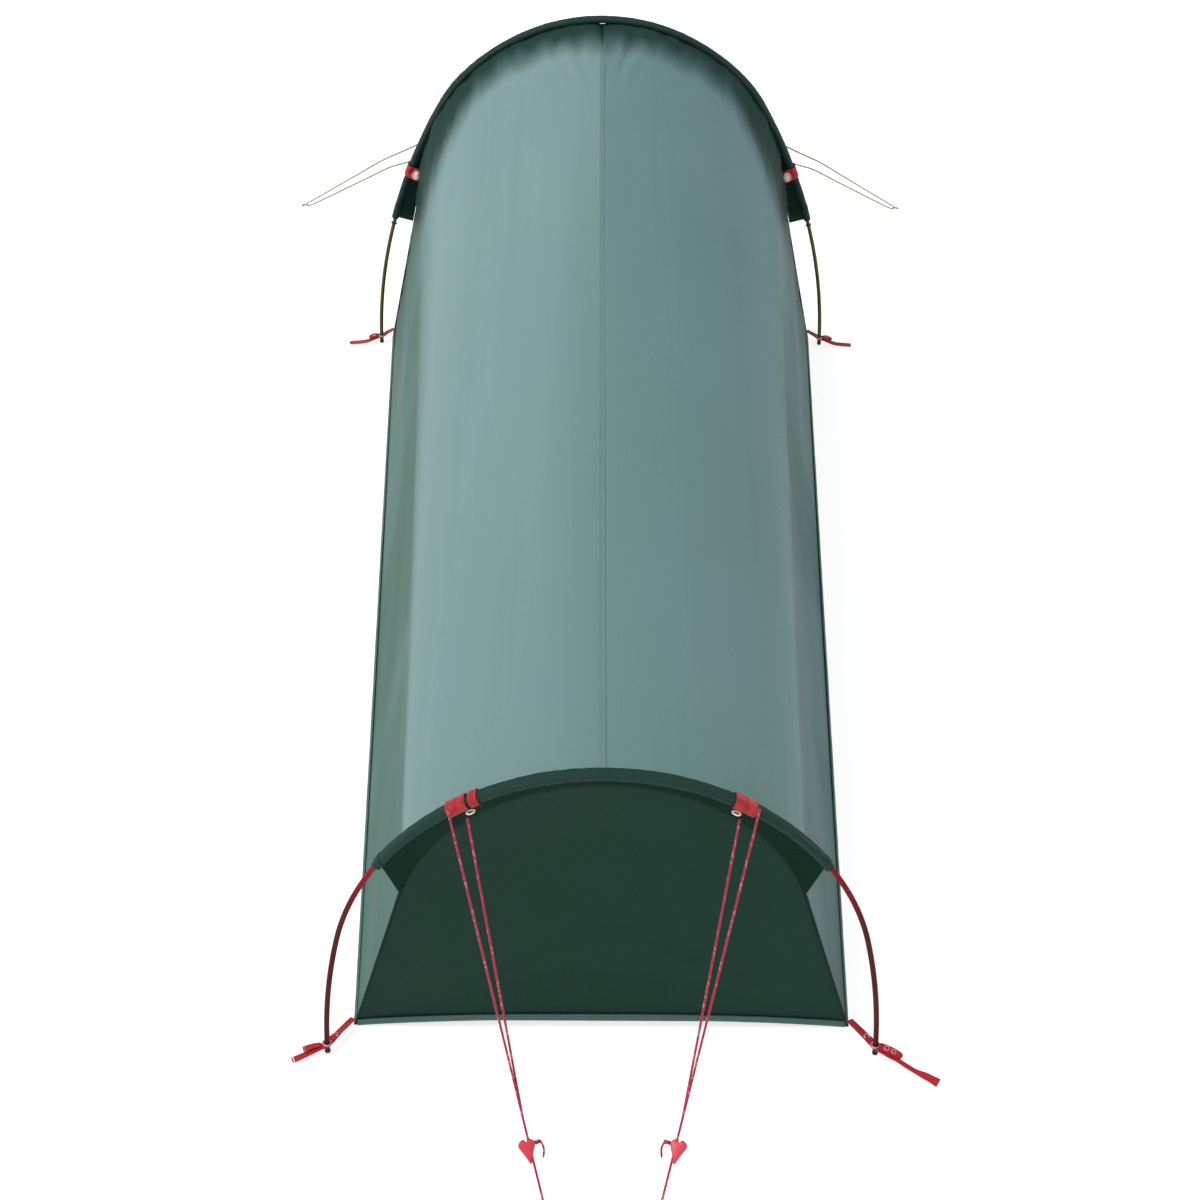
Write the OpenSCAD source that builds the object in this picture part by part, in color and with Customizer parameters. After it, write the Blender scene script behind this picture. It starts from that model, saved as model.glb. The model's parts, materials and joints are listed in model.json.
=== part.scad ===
// One-person tunnel tent on two pole hoops, pitched, in millimetres.
// Z is up, +Y points from the foot hoop to the head hoop, and the origin is
// the centre of the groundsheet's underside.

/* [Tent] */
// Distance along the ground between the two pole hoops
hoop_gap = 2300; // [2200:10:2400]
// Thickness of the fly cloth, walls and door flaps
cloth_t = 1; // [0.8:0.1:1.2]
// Drop of the ridge line halfway between the hoops
ridge_sag = 12; // [0:1:20]

/* [Foot hoop] */
// Half the width of the foot hoop at the ground, to the pole's centre
foot_half = 428; // [424:1:440]
// Height of the foot hoop at its top, to the pole's centre
foot_top = 556; // [550:1:570]
// Radius of the foot hoop's top arc
foot_r = 412; // [408:1:414]
// Half the width of the cloth's foot end at the ground
foot_cloth_half = 390; // [385:1:395]

/* [Head hoop] */
// Half the width of the head hoop at the ground, to the pole's centre
head_half = 508; // [504:1:515]
// Height of the head hoop at its top, to the pole's centre
head_top = 788; // [780:1:800]
// Radius of the head hoop's top arc
head_r = 404; // [400:1:408]
// Half the width of the cloth's head end at the ground
head_cloth_half = 483; // [478:1:487]

/* [Poles] */
// Outer diameter of the pole tube
pole_d = 8.5; // [8:0.1:9]
// Wall of the pole tube
pole_wall = 0.75; // [0.6:0.05:0.9]
// Number of sections in the foot pole
foot_sections = 5; // [5:1:5]
// Number of sections in the head pole
head_sections = 6; // [6:1:6]
// Width of the flattened pole sleeve, across the pole
sleeve_w = 24; // [20:1:26]
// Thickness of the flattened pole sleeve
sleeve_h = 13; // [12:0.5:14]

/* [Door] */
// Height of the door's top corner
door_top = 690; // [650:5:710]
// Half the width of the door at its foot
door_half = 420; // [380:5:430]
// Height of the door sill
door_sill = 45; // [42:1:60]

/* [Guylines] */
// Diameter of the guyline cord
cord_d = 3.5; // [3:0.5:4]
// Width of the webbing straps
strap_w = 15; // [12:1:18]

/* [Hidden] */
$fn = 48;
EPS = 0.01;
GAP = 0.4;                 // clearance between neighbouring solids
FOOT_Y = -hoop_gap / 2;    // foot hoop's plane
HEAD_Y = hoop_gap / 2;     // head hoop's plane
FOOT_HOOP = [foot_half, foot_top, foot_r, FOOT_Y];
HEAD_HOOP = [head_half, head_top, head_r, HEAD_Y];
// End profiles of the cloth: half width, height, radius of the top arc
FOOT_CLOTH = [foot_cloth_half, foot_top - 23, foot_r - 94];
HEAD_CLOTH = [head_cloth_half, head_top - 12, head_r - 10];
// Each end plane of the cloth: y at the ground, lean in y per unit of height
FOOT_PLANE = [FOOT_Y + 60, 0.095];
HEAD_PLANE = [HEAD_Y + 27, 0.035];
ROOF_CELLS = 8;            // cells of the roof along the tent
LINE_CELLS = 3;            // cells up the straight side of the profile
ARC_CELLS = 12;            // cells round the profile's arc, ground to ridge
FOOT_SLEEVE_PHI = 36;      // where the foot sleeve starts, above the hoop's foot
HEAD_SLEEVE_PHI = 16;      // where the head sleeve starts
FOOT_HOOD_K = 1;           // where the foot hood's lower corner meets the seam
HEAD_HOOD_K = 0.66;        // where the head hood's lower corner meets the seam
TIP_H = 18;                // height of a pole tip below the tube
STRAP_Z = 18;              // height of the straps where the poles pass through
STRAP_T = 1.5;             // thickness of the webbing
EYELET_R = 5.9;            // outer radius of an eyelet's barrel
FOOT_PATCH_PHI = 60;       // place of the foot guy patches on the hoop
HEAD_TAB_PHI = 22;         // place of the head guy tabs on the hoop
HEM_H = 14;                // height of the ground hems
SLIDER_Z = 95;             // height of the closed zip slider
RUNNER_T = 6;              // thickness of a guyline runner

// Guyline routes on the left side, x outward negative
FOOT_GUY = [[-226, -1166, 506], [-14, -1806, 6]];
FOOT_RETURN = [[-200, -1172, 486], [-112, -1506, 233]];
HEAD_GUY = [
    [-436, 1168, 482], [-500, 1304, 388], [-560, 1432, 300], [-620, 1560, 212],
    [-680, 1688, 124], [-730, 1794, 51], [-752, 1840, 19], [-761, 1858, 7],
    [-764, 1868, 3], [-760, 1875, 2], [-753, 1875, 2], [-749, 1869, 3],
    [-746, 1858, 7], [-737, 1838, 19], [-716, 1792, 48], [-664, 1678, 122],
    [-604, 1546, 208], [-544, 1414, 294], [-484, 1282, 380], [-428, 1158, 460]
];
RUNNER_POS = [-100, -1546, 209];   // on the foot guyline

// ---- Hoops: a top arc and two leg arcs that meet it smoothly ----
// A hoop is [half width, height, top radius, y]. Angles run from the right
// foot (0) over the top (90) to the left foot (180).
function leg_r(h) = (h[0] * h[0] + h[1] * h[1] - 2 * h[1] * h[2]) / (2 * (h[0] - h[2]));
function leg_angle(h) = atan2(h[1] - h[2], leg_r(h) - h[0]);
function leg_len(h) = leg_r(h) * leg_angle(h) * PI / 180;
function top_len(h) = h[2] * (180 - 2 * leg_angle(h)) * PI / 180;
function hoop_len(h) = 2 * leg_len(h) + top_len(h);

// Angle on the hoop at arc length s from the right foot
function angle_at(h, s) =
    s < leg_len(h) ? s / leg_r(h) * 180 / PI
    : s < leg_len(h) + top_len(h) ? leg_angle(h) + (s - leg_len(h)) / h[2] * 180 / PI
    : 180 - (hoop_len(h) - s) / leg_r(h) * 180 / PI;

// Point [x, z] on the right half of the hoop, moved outward by o
function right_xz(h, phi, o) =
    phi < leg_angle(h)
        ? [h[0] - leg_r(h) + (leg_r(h) + o) * cos(phi), (leg_r(h) + o) * sin(phi)]
        : [(h[2] + o) * cos(phi), h[1] - h[2] + (h[2] + o) * sin(phi)];
function hoop_xz(h, phi, o = 0) =
    phi <= 90 ? right_xz(h, phi, o)
    : let (p = right_xz(h, 180 - phi, o)) [-p[0], p[1]];

// One arc about a centre in the hoop's plane; the child is its cross-section,
// x outward and y toward the foot end
module arc_piece(cx, cz, r, from, to) {
    if (to - from > EPS)
        translate([cx, cz, 0])
            rotate([0, 0, from])
                rotate_extrude(angle = to - from, $fn = 360)
                    translate([r, 0])
                        children();
}

// A cross-section swept along the hoop from one angle to another; split leaves
// a hair's gap where the arcs meet
module along_hoop(h, from, to, split = 0) {
    a = leg_angle(h);
    shift = h[0] - leg_r(h);
    translate([0, h[3], 0])
        rotate([90, 0, 0]) {
            arc_piece(shift, 0, leg_r(h), from, min(to, a)) children();
            arc_piece(0, h[1] - h[2], h[2], max(from, a + split), min(to, 180 - a - split))
                children();
            arc_piece(-shift, 0, leg_r(h), max(from, 180 - a), to) children();
        }
}

// The child placed on the hoop: local X outward, local Y along the tent
module on_hoop(h, phi) {
    p = hoop_xz(h, phi);
    translate([p[0], h[3], p[1]])
        rotate([0, -phi, 0])
            children();
}

module ring_2d(r_out, r_in) {
    difference() {
        circle(r = r_out);
        circle(r = r_in);
    }
}

module stadium_2d(w, h) {
    square([h - EPS, w - h], center = true);
    for (s = [-1, 1])
        translate([0, s * (w - h) / 2])
            circle(d = h);
}

// Flattened tube, wall t, whose outside is w by h
module flat_tube_2d(w, h, t) {
    difference() {
        stadium_2d(w, h);
        stadium_2d(w - 2 * t, h - 2 * t);
    }
}

// ---- Poles ----
module pole_section(h, i, count) {
    first = max(i * hoop_len(h) / count + 0.1, TIP_H);
    last = min((i + 1) * hoop_len(h) / count - 0.1, hoop_len(h) - TIP_H);
    color("firebrick")
        along_hoop(h, angle_at(h, first), angle_at(h, last))
            ring_2d(pole_d / 2, pole_d / 2 - pole_wall);
}

module pole_ferrules(h, count) {
    reach = 35;
    color("silver")
        for (i = [1 : count - 1]) {
            s = i * hoop_len(h) / count;
            along_hoop(h, angle_at(h, s - reach), angle_at(h, s + reach))
                ring_2d(pole_d / 2 - pole_wall - 0.15, pole_d / 2 - pole_wall - 1.15);
        }
}

module shock_cord(h) {
    inset = 40;
    color("black")
        along_hoop(h, angle_at(h, inset), angle_at(h, hoop_len(h) - inset), 0.01)
            circle(d = 2.5);
}

module pole_tips() {
    spigot_r = pole_d / 2 - pole_wall - 0.7;    // the tube above is slightly curved
    color("black")
        for (h = [FOOT_HOOP, HEAD_HOOP], s = [-1, 1])
            translate([s * h[0], h[3], 0]) {
                cylinder(h = TIP_H - 0.2, r = pole_d / 2 + 0.4);
                cylinder(h = TIP_H + 16, r = spigot_r);
            }
}

// ---- Sleeves and hoods ----
module pole_sleeve(h, phi) {
    color("darkslategray")
        along_hoop(h, phi, 180 - phi, 0.01)
            flat_tube_2d(sleeve_w, sleeve_h, 0.8);
}

module sleeve_end_loops() {
    color("black")
        for (e = [[FOOT_HOOP, FOOT_SLEEVE_PHI], [HEAD_HOOP, HEAD_SLEEVE_PHI]])
            for (phi = [e[1] - 0.8, 180 - e[1] + 0.8])
                on_hoop(e[0], phi)
                    rotate_extrude()
                        translate([pole_d / 2 + 1.5, 0])
                            circle(d = 2);
}

// ---- Cloth profile: a straight side, then an arc to the ridge ----
// A profile is [half width, height, radius]; k runs from 0 at the ground to 1
// where the side meets the arc, and to 2 at the ridge. inset moves it inward.
function touch_angle(p) =
    acos(p[2] / norm([p[0], p[1] - p[2]])) - atan2(p[1] - p[2], p[0]);
function shrunk(p, inset) = [p[0] - inset, p[1] - inset, p[2] - inset];
function profile_xz(p, k) =
    let (t = touch_angle(p))
    let (touch = [p[2] * cos(t), p[1] - p[2] + p[2] * sin(t)])
    k < 1 ? [p[0] + (touch[0] - p[0]) * k, touch[1] * k]
    : let (a = t + (90 - t) * (k - 1)) [p[2] * cos(a), p[1] - p[2] + p[2] * sin(a)];

// Point of the fly at height k round the profile and v along the tent, from 0
// at the foot end to 1 at the head end
function fly_point(side, k, v, inset = 0) =
    let (f = profile_xz(shrunk(FOOT_CLOTH, inset), k))
    let (h = profile_xz(shrunk(HEAD_CLOTH, inset), k))
    let (yf = FOOT_PLANE[0] - FOOT_PLANE[1] * f[1])
    let (yh = HEAD_PLANE[0] - HEAD_PLANE[1] * h[1])
    let (sag = ridge_sag * 4 * v * (1 - v) * max(0, k - 0.5) / 1.5)
    [side * (f[0] + (h[0] - f[0]) * v), yf + (yh - yf) * v, f[1] + (h[1] - f[1]) * v - sag];

// Closed skin between two grids of points of the same size
module skin(outer, inner) {
    rows = len(outer);
    cols = len(outer[0]);
    size = rows * cols;
    points = concat([for (r = outer) each r], [for (r = inner) each r]);
    function at(r, c) = r * cols + c;
    faces = concat(
        [for (r = [0 : rows - 2], c = [0 : cols - 2]) each [
            [at(r, c), at(r, c + 1), at(r + 1, c + 1)],
            [at(r, c), at(r + 1, c + 1), at(r + 1, c)],
            [size + at(r, c), size + at(r + 1, c + 1), size + at(r, c + 1)],
            [size + at(r, c), size + at(r + 1, c), size + at(r + 1, c + 1)]]],
        [for (r = [0 : rows - 2], e = [[0, 1], [cols - 1, -1]])
            let (a = at(r, e[0]), b = at(r + 1, e[0]))
            each e[1] > 0 ? [[a, b, size + b], [a, size + b, size + a]]
                : [[a, size + b, b], [a, size + a, size + b]]],
        [for (c = [0 : cols - 2], e = [[0, -1], [rows - 1, 1]])
            let (a = at(e[0], c), b = at(e[0], c + 1))
            each e[1] > 0 ? [[a, b, size + b], [a, size + b, size + a]]
                : [[a, size + b, b], [a, size + a, size + b]]]
    );
    polyhedron(points = points, faces = faces, convexity = 6);
}

// Values of k for the cells of the profile, from k0 at the ground side
function profile_steps(k0) = concat(
    k0 < 1 ? [for (i = [0 : LINE_CELLS - 1]) k0 + (1 - k0) * i / LINE_CELLS] : [],
    [for (i = [0 : ARC_CELLS]) 1 + i / ARC_CELLS]);

module roof_half(side) {
    ks = profile_steps(0);
    outer = [for (k = ks) [for (j = [0 : ROOF_CELLS]) fly_point(1, k, j / ROOF_CELLS)]];
    inner = [for (k = ks) [for (j = [0 : ROOF_CELLS]) fly_point(1, k, j / ROOF_CELLS, cloth_t)]];
    color(side < 0 ? "cadetblue" : "slategray")
        mirror([side < 0 ? 1 : 0, 0, 0])
            translate([GAP / 2, 0, 0])
                skin(outer, inner);
}

module ridge_tape() {
    half = 8;
    lift = [for (j = [0 : ROOF_CELLS]) fly_point(1, 2, j / ROOF_CELLS)];
    top = [for (x = [-half, 0, half]) [for (p = lift) [x, p[1], p[2] + 1.6]]];
    bottom = [for (x = [-half, 0, half]) [for (p = lift) [x, p[1], p[2] + 0.6]]];
    color("teal")
        skin(bottom, top);
}

module side_hem(side) {
    ks = [0, 0.045];
    outer = [for (k = ks) [for (j = [0 : 2]) fly_point(1, k, j / 2, -1.6)]];
    inner = [for (k = ks) [for (j = [0 : 2]) fly_point(1, k, j / 2, -0.5)]];
    color("darkslategray")
        mirror([side < 0 ? 1 : 0, 0, 0])
            translate([GAP / 2, 0, 0])
                skin(outer, inner);
}

// Value of k for the place on a profile that lies nearest to a point outside it
function k_beside(p, xz) =
    let (t = touch_angle(p))
    let (centre_z = p[1] - p[2])
    let (a = atan2(xz[1] - centre_z, abs(xz[0])))
    a > t ? 1 + (a - t) / (90 - t) : xz[1] / (centre_z + p[2] * sin(t));

// Strip of cloth between a sleeve and the fly's end seam. Its inner edge stands
// lap outside the profile and past the end plane; o is the depth in the cloth.
// The free lower edge slants to k0 on the seam.
module hood(h, profile, plane, phi, k0, lap, past) {
    cells = 36;
    corner = 0.16;    // share of each side over which the lower edge slants
    drop = sleeve_h / 2 + 2.1;
    rim = function (w, o) hoop_xz(h, phi + w * (180 - 2 * phi), -drop - o);
    slant = k_beside(profile, rim(0, 0)) - k0;
    edge_k = function (w) let (t = w < 0.5 ? 2 * w : 2 - 2 * w)
        k_beside(profile, rim(w, 0)) - slant * max(0, 1 - t / corner);
    edge = function (w, o) let (p = profile_xz(shrunk(profile, o - lap), edge_k(w)))
        [(w < 0.5 ? 1 : -1) * p[0], plane[0] - plane[1] * p[1] + past, p[1]];
    rows = function (o) [for (i = [0 : cells]) let (w = i / cells, r = rim(w, o))
        [[r[0], h[3], r[1]], edge(w, o)]];
    color("darkslategray")
        skin(rows(0), rows(cloth_t));
}

// ---- End walls, drawn in the leaning end plane as [x, height] ----
module in_end_plane(plane) {
    translate([0, plane[0], 0])
        rotate([90 + atan(plane[1]), 0, 0])
            children();
}

function leaned(points, plane) =
    [for (p = points) [p[0], p[1] * sqrt(1 + plane[1] * plane[1])]];

function end_outline(profile) =
    let (p = shrunk(profile, cloth_t + GAP))
    let (right = [for (k = profile_steps(0)) profile_xz(p, k)])
    concat(right, [for (i = [len(right) - 2 : -1 : 0]) [-right[i][0], right[i][1]]]);

module foot_wall() {
    color("#1f3b31")
        in_end_plane(FOOT_PLANE)
            translate([0, 0, -cloth_t])
                linear_extrude(cloth_t)
                    difference() {
                        polygon(leaned(end_outline(FOOT_CLOTH), FOOT_PLANE));
                        translate([-500, -1])
                            square([1000, 3]);
                    }
}

module foot_hem() {
    w = foot_cloth_half - 4;
    color("#33534c")
        in_end_plane(FOOT_PLANE)
            translate([0, 0, GAP])
                linear_extrude(1)
                    polygon([[-w, 1], [w, 1], [w - 4, HEM_H], [4 - w, HEM_H]]);
}

// Half of the head wall beside the door
module head_wall(side) {
    color("#2c4d43")
        in_end_plane(HEAD_PLANE)
            linear_extrude(cloth_t)
                difference() {
                    polygon(leaned(end_outline(HEAD_CLOTH), HEAD_PLANE));
                    polygon([[-door_half - 1, door_sill], [door_half + 1, door_sill], [1, door_top + 1],
                        [-1, door_top + 1]]);
                    translate([side > 0 ? -500 : -GAP / 2, -1])
                        square([500 + GAP / 2, 1000]);
                    translate([-500, -1])
                        square([1000, 3]);
                }
}

module door_flap(side) {
    color("#3c6459")
        in_end_plane(HEAD_PLANE)
            linear_extrude(cloth_t)
                polygon([[side * 1, door_sill + 1], [side * (door_half - 2), door_sill + 1],
                    [side * 1.5, door_top - 2]]);
}

module zip_tape(side) {
    color("black")
        in_end_plane(HEAD_PLANE)
            translate([side * 7.5, door_sill + 2, -1 - GAP])
                linear_extrude(1)
                    translate([-6, 0])
                        square([12, door_top - door_sill - 50]);
}

module zip_slider() {
    color("dimgray")
        in_end_plane(HEAD_PLANE)
            translate([0, SLIDER_Z, -2 * GAP - 1]) {
                translate([-5, -7, -4])
                    cube([10, 14, 4]);
                difference() {
                    translate([-1.5, -5, -9])
                        cube([3, 10, 5 + EPS]);
                    translate([-2, 0, -6])
                        rotate([0, 90, 0])
                            cylinder(h = 4, r = 1.5);
                }
            }
}

module zip_pull() {
    color("crimson")
        in_end_plane(HEAD_PLANE)
            translate([0, SLIDER_Z, -2 * GAP - 7]) {
                translate([-4, 0, 0])
                    rotate([0, 90, 0])
                        cylinder(h = 8, r = 1);
                for (x = [-4, 2.5])
                    translate([x, -8, -1])
                        cube([1.5, 9, 2]);
                translate([-4, -30, -1])
                    cube([8, 23, 2]);
            }
}

module groundsheet() {
    wall_h = 40;
    t = 1.2;
    function floor_outline(inset) = [
        [-(foot_cloth_half - 24 - inset), FOOT_Y + 70 + inset],
        [foot_cloth_half - 24 - inset, FOOT_Y + 70 + inset],
        [head_cloth_half - 24 - inset, HEAD_Y + 14 - inset],
        [-(head_cloth_half - 24 - inset), HEAD_Y + 14 - inset]];
    color("dimgray")
        difference() {
            linear_extrude(wall_h)
                polygon(floor_outline(0));
            translate([0, 0, t])
                linear_extrude(wall_h)
                    polygon(floor_outline(t));
        }
}

// ---- Corner straps ----
// A flat bar of webbing from before one point to past another
module webbing(a, b, before, past) {
    d = b - a;
    run = norm(d);
    translate(a)
        rotate([0, -asin(d[2] / run), atan2(d[1], d[0])])
            translate([-before, -strap_w / 2, -STRAP_T / 2])
                cube([before + run + past, strap_w, STRAP_T]);
}

// Webbing from a corner of the cloth past the pole's foot to a tail
module corner_strap(corner, foot, tail) {
    color("crimson")
        difference() {
            union() {
                webbing(corner, foot, 6, 6);
                webbing(foot, tail, 0, 6);
            }
            translate([foot[0], foot[1], 0])
                cylinder(h = 60, r = EYELET_R + 0.4);
        }
}

module strap_foot(side) {
    tail = side < 0 ? [-476, -1172, 3] : [516, -1216, 3];
    corner_strap([side * (foot_cloth_half + 6), FOOT_Y + 52, STRAP_Z],
        [side * foot_half, FOOT_Y, STRAP_Z], tail);
}

module strap_head(side) {
    corner_strap([side * (head_cloth_half + 1), HEAD_Y + 47, STRAP_Z],
        [side * head_half, HEAD_Y, STRAP_Z], [side * 580, HEAD_Y - 14, 3]);
}

module strap_eyelets() {
    color("silver")
        for (h = [FOOT_HOOP, HEAD_HOOP], s = [-1, 1])
            translate([s * h[0], h[3], STRAP_Z])
                rotate_extrude()
                    polygon([[5, -1.6], [EYELET_R, -1.6], [EYELET_R, 1.6], [8, 1.6], [8, 2.6], [5, 2.6]]);
}

// ---- Guyline fittings ----
module foot_guy_patches() {
    color("crimson")
        for (side = [0, 1])
            mirror([side, 0, 0])
                for (span = [[-2.2, 2.2], [3.4, 5]])
                    along_hoop(FOOT_HOOP, FOOT_PATCH_PHI + span[0], FOOT_PATCH_PHI + span[1])
                        flat_tube_2d(sleeve_w + 3.4, sleeve_h + 3.4, 1.3);
}

module head_guy_tabs() {
    color("crimson")
        for (side = [0, 1])
            mirror([side, 0, 0]) {
                along_hoop(HEAD_HOOP, HEAD_TAB_PHI - 0.6, HEAD_TAB_PHI + 0.6)
                    flat_tube_2d(sleeve_w + 3.4, sleeve_h + 3.4, 1.3);
                on_hoop(HEAD_HOOP, HEAD_TAB_PHI) {
                    translate([-16, -14.5, -10])
                        cube([17, 1.3, 20]);
                    translate([-16, -44, -10])
                        cube([1.3, 30.5, 20]);
                }
            }
}

module guy_ring(r) {
    rotate_extrude()
        translate([r, 0])
            circle(d = 2.4);
}

module guy_rings() {
    color("white")
        for (side = [0, 1])
            mirror([side, 0, 0]) {
                on_hoop(FOOT_HOOP, FOOT_PATCH_PHI + 1.5)
                    translate([-9, -16, 0])
                        rotate([90, 0, 0])
                            guy_ring(6);
                on_hoop(HEAD_HOOP, HEAD_TAB_PHI)
                    translate([-13, -30, 0])
                        rotate([0, 90, 0])
                            guy_ring(7);
            }
}

// The child with its Z axis from the guyline's lower end up toward the tent,
// its Y axis level, at the given point of the left foot guyline
module on_foot_guy(at) {
    d = FOOT_GUY[0] - FOOT_GUY[1];
    translate(at)
        rotate([0, acos(d[2] / norm(d)), atan2(d[1], d[0])])
            children();
}

// Heart-shaped plate with a straight bore for the sliding line
module runner(side) {
    heart = [[-1, -20], [1, -20], [11, 4], [11.5, 9], [9, 13], [5, 13.5], [0, 9],
        [-5, 13.5], [-9, 13], [-11.5, 9], [-11, 4]];
    color("lightcoral")
        mirror([side > 0 ? 1 : 0, 0, 0])
            on_foot_guy(RUNNER_POS)
                difference() {
                    translate([-RUNNER_T / 2, 4, 0])
                        rotate([90, 0, 90])
                            linear_extrude(RUNNER_T)
                                polygon(heart);
                    translate([0, 0, -30])
                        cylinder(h = 60, r = cord_d / 2 + 0.45);
                }
}

// Knot beside the runner's inner lobe, with its hanging tail
module runner_knot(side) {
    color("crimson")
        mirror([side > 0 ? 1 : 0, 0, 0])
            on_foot_guy(RUNNER_POS)
                translate([0, -12.2, 7]) {
                    sphere(r = 4);
                    translate([0, -2, -24])
                        cylinder(h = 22, d = cord_d);
                }
}

// Round cord of 8 sides along a list of points
module cord(route) {
    sides = 8;
    last = len(route) - 1;
    function dir(i) = let (d = route[min(i + 1, last)] - route[max(i - 1, 0)]) d / norm(d);
    function level(i) = let (s = cross(dir(i), [0, 0, 1])) s / norm(s);
    function ring(i) = let (u = level(i), w = cross(level(i), dir(i)))
        [for (k = [0 : sides - 1]) route[i]
            + cord_d / 2 * (cos(k * 360 / sides) * u + sin(k * 360 / sides) * w)];
    points = [for (i = [0 : last]) each ring(i)];
    faces = concat(
        [[for (k = [0 : sides - 1]) k]],
        [for (i = [0 : last - 1], k = [0 : sides - 1])
            let (n = (k + 1) % sides)
            [i * sides + k, (i + 1) * sides + k, (i + 1) * sides + n, i * sides + n]],
        [[for (k = [sides - 1 : -1 : 0]) last * sides + k]]);
    polyhedron(points = points, faces = faces, convexity = 4);
}

// Straight cord between two points, with a ring every tenth of its length
function straight(ends) = [for (i = [0 : 10]) ends[0] + (ends[1] - ends[0]) * i / 10];

module guy_cord(side, route, tint) {
    color(tint)
        mirror([side > 0 ? 1 : 0, 0, 0])
            cord(route);
}

// Knotted loops at the foot guylines' ends, flat on the ground
module guy_end_loops() {
    color("crimson")
        for (side = [0, 1])
            mirror([side, 0, 0])
                translate([-16, -1812, cord_d / 2 + 0.1]) {
                    translate([0, 0, 1.6])
                        sphere(r = 3.2);
                    translate([-1, -16, 0])
                        guy_ring(12);
                }
}

for (i = [0 : foot_sections - 1])
    pole_section(FOOT_HOOP, i, foot_sections);
for (i = [0 : head_sections - 1])
    pole_section(HEAD_HOOP, i, head_sections);
pole_ferrules(FOOT_HOOP, foot_sections);  // foot_pole_ferrules
pole_ferrules(HEAD_HOOP, head_sections);  // head_pole_ferrules
shock_cord(FOOT_HOOP);  // foot_shock_cord
shock_cord(HEAD_HOOP);  // head_shock_cord
pole_tips();
pole_sleeve(FOOT_HOOP, FOOT_SLEEVE_PHI);  // foot_pole_sleeve
pole_sleeve(HEAD_HOOP, HEAD_SLEEVE_PHI);  // head_pole_sleeve
hood(FOOT_HOOP, FOOT_CLOTH, FOOT_PLANE, FOOT_SLEEVE_PHI, FOOT_HOOD_K, -3, -1.8);  // foot_hood
hood(HEAD_HOOP, HEAD_CLOTH, HEAD_PLANE, HEAD_SLEEVE_PHI, HEAD_HOOD_K, 2.8, 4);  // head_hood
sleeve_end_loops();
roof_half(-1);  // roof_left
roof_half(1);  // roof_right
ridge_tape();
side_hem(-1);  // hem_left
side_hem(1);  // hem_right
foot_wall();
foot_hem();
head_wall(-1);  // head_wall_left
head_wall(1);  // head_wall_right
door_flap(-1);  // door_left
door_flap(1);  // door_right
zip_tape(-1);  // zip_tape_left
zip_tape(1);  // zip_tape_right
zip_slider();
zip_pull();
groundsheet();
strap_foot(-1);  // strap_foot_left
strap_foot(1);  // strap_foot_right
strap_head(-1);  // strap_head_left
strap_head(1);  // strap_head_right
strap_eyelets();
foot_guy_patches();
head_guy_tabs();
guy_rings();
runner(-1);  // runner_left
runner(1);  // runner_right
runner_knot(-1);  // runner_knot_left
runner_knot(1);  // runner_knot_right
guy_cord(-1, straight(FOOT_GUY), "crimson");  // foot_guy_left
guy_cord(1, straight(FOOT_GUY), "crimson");  // foot_guy_right
guy_cord(-1, straight(FOOT_RETURN), "crimson");  // foot_guy_return_left
guy_cord(1, straight(FOOT_RETURN), "crimson");  // foot_guy_return_right
guy_cord(-1, HEAD_GUY, "darkkhaki");  // head_guy_left
guy_cord(1, HEAD_GUY, "darkkhaki");  // head_guy_right
guy_end_loops();
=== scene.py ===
"""Looks of a one-person tunnel tent on two pole hoops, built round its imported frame. Metres."""

import json
import math

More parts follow.
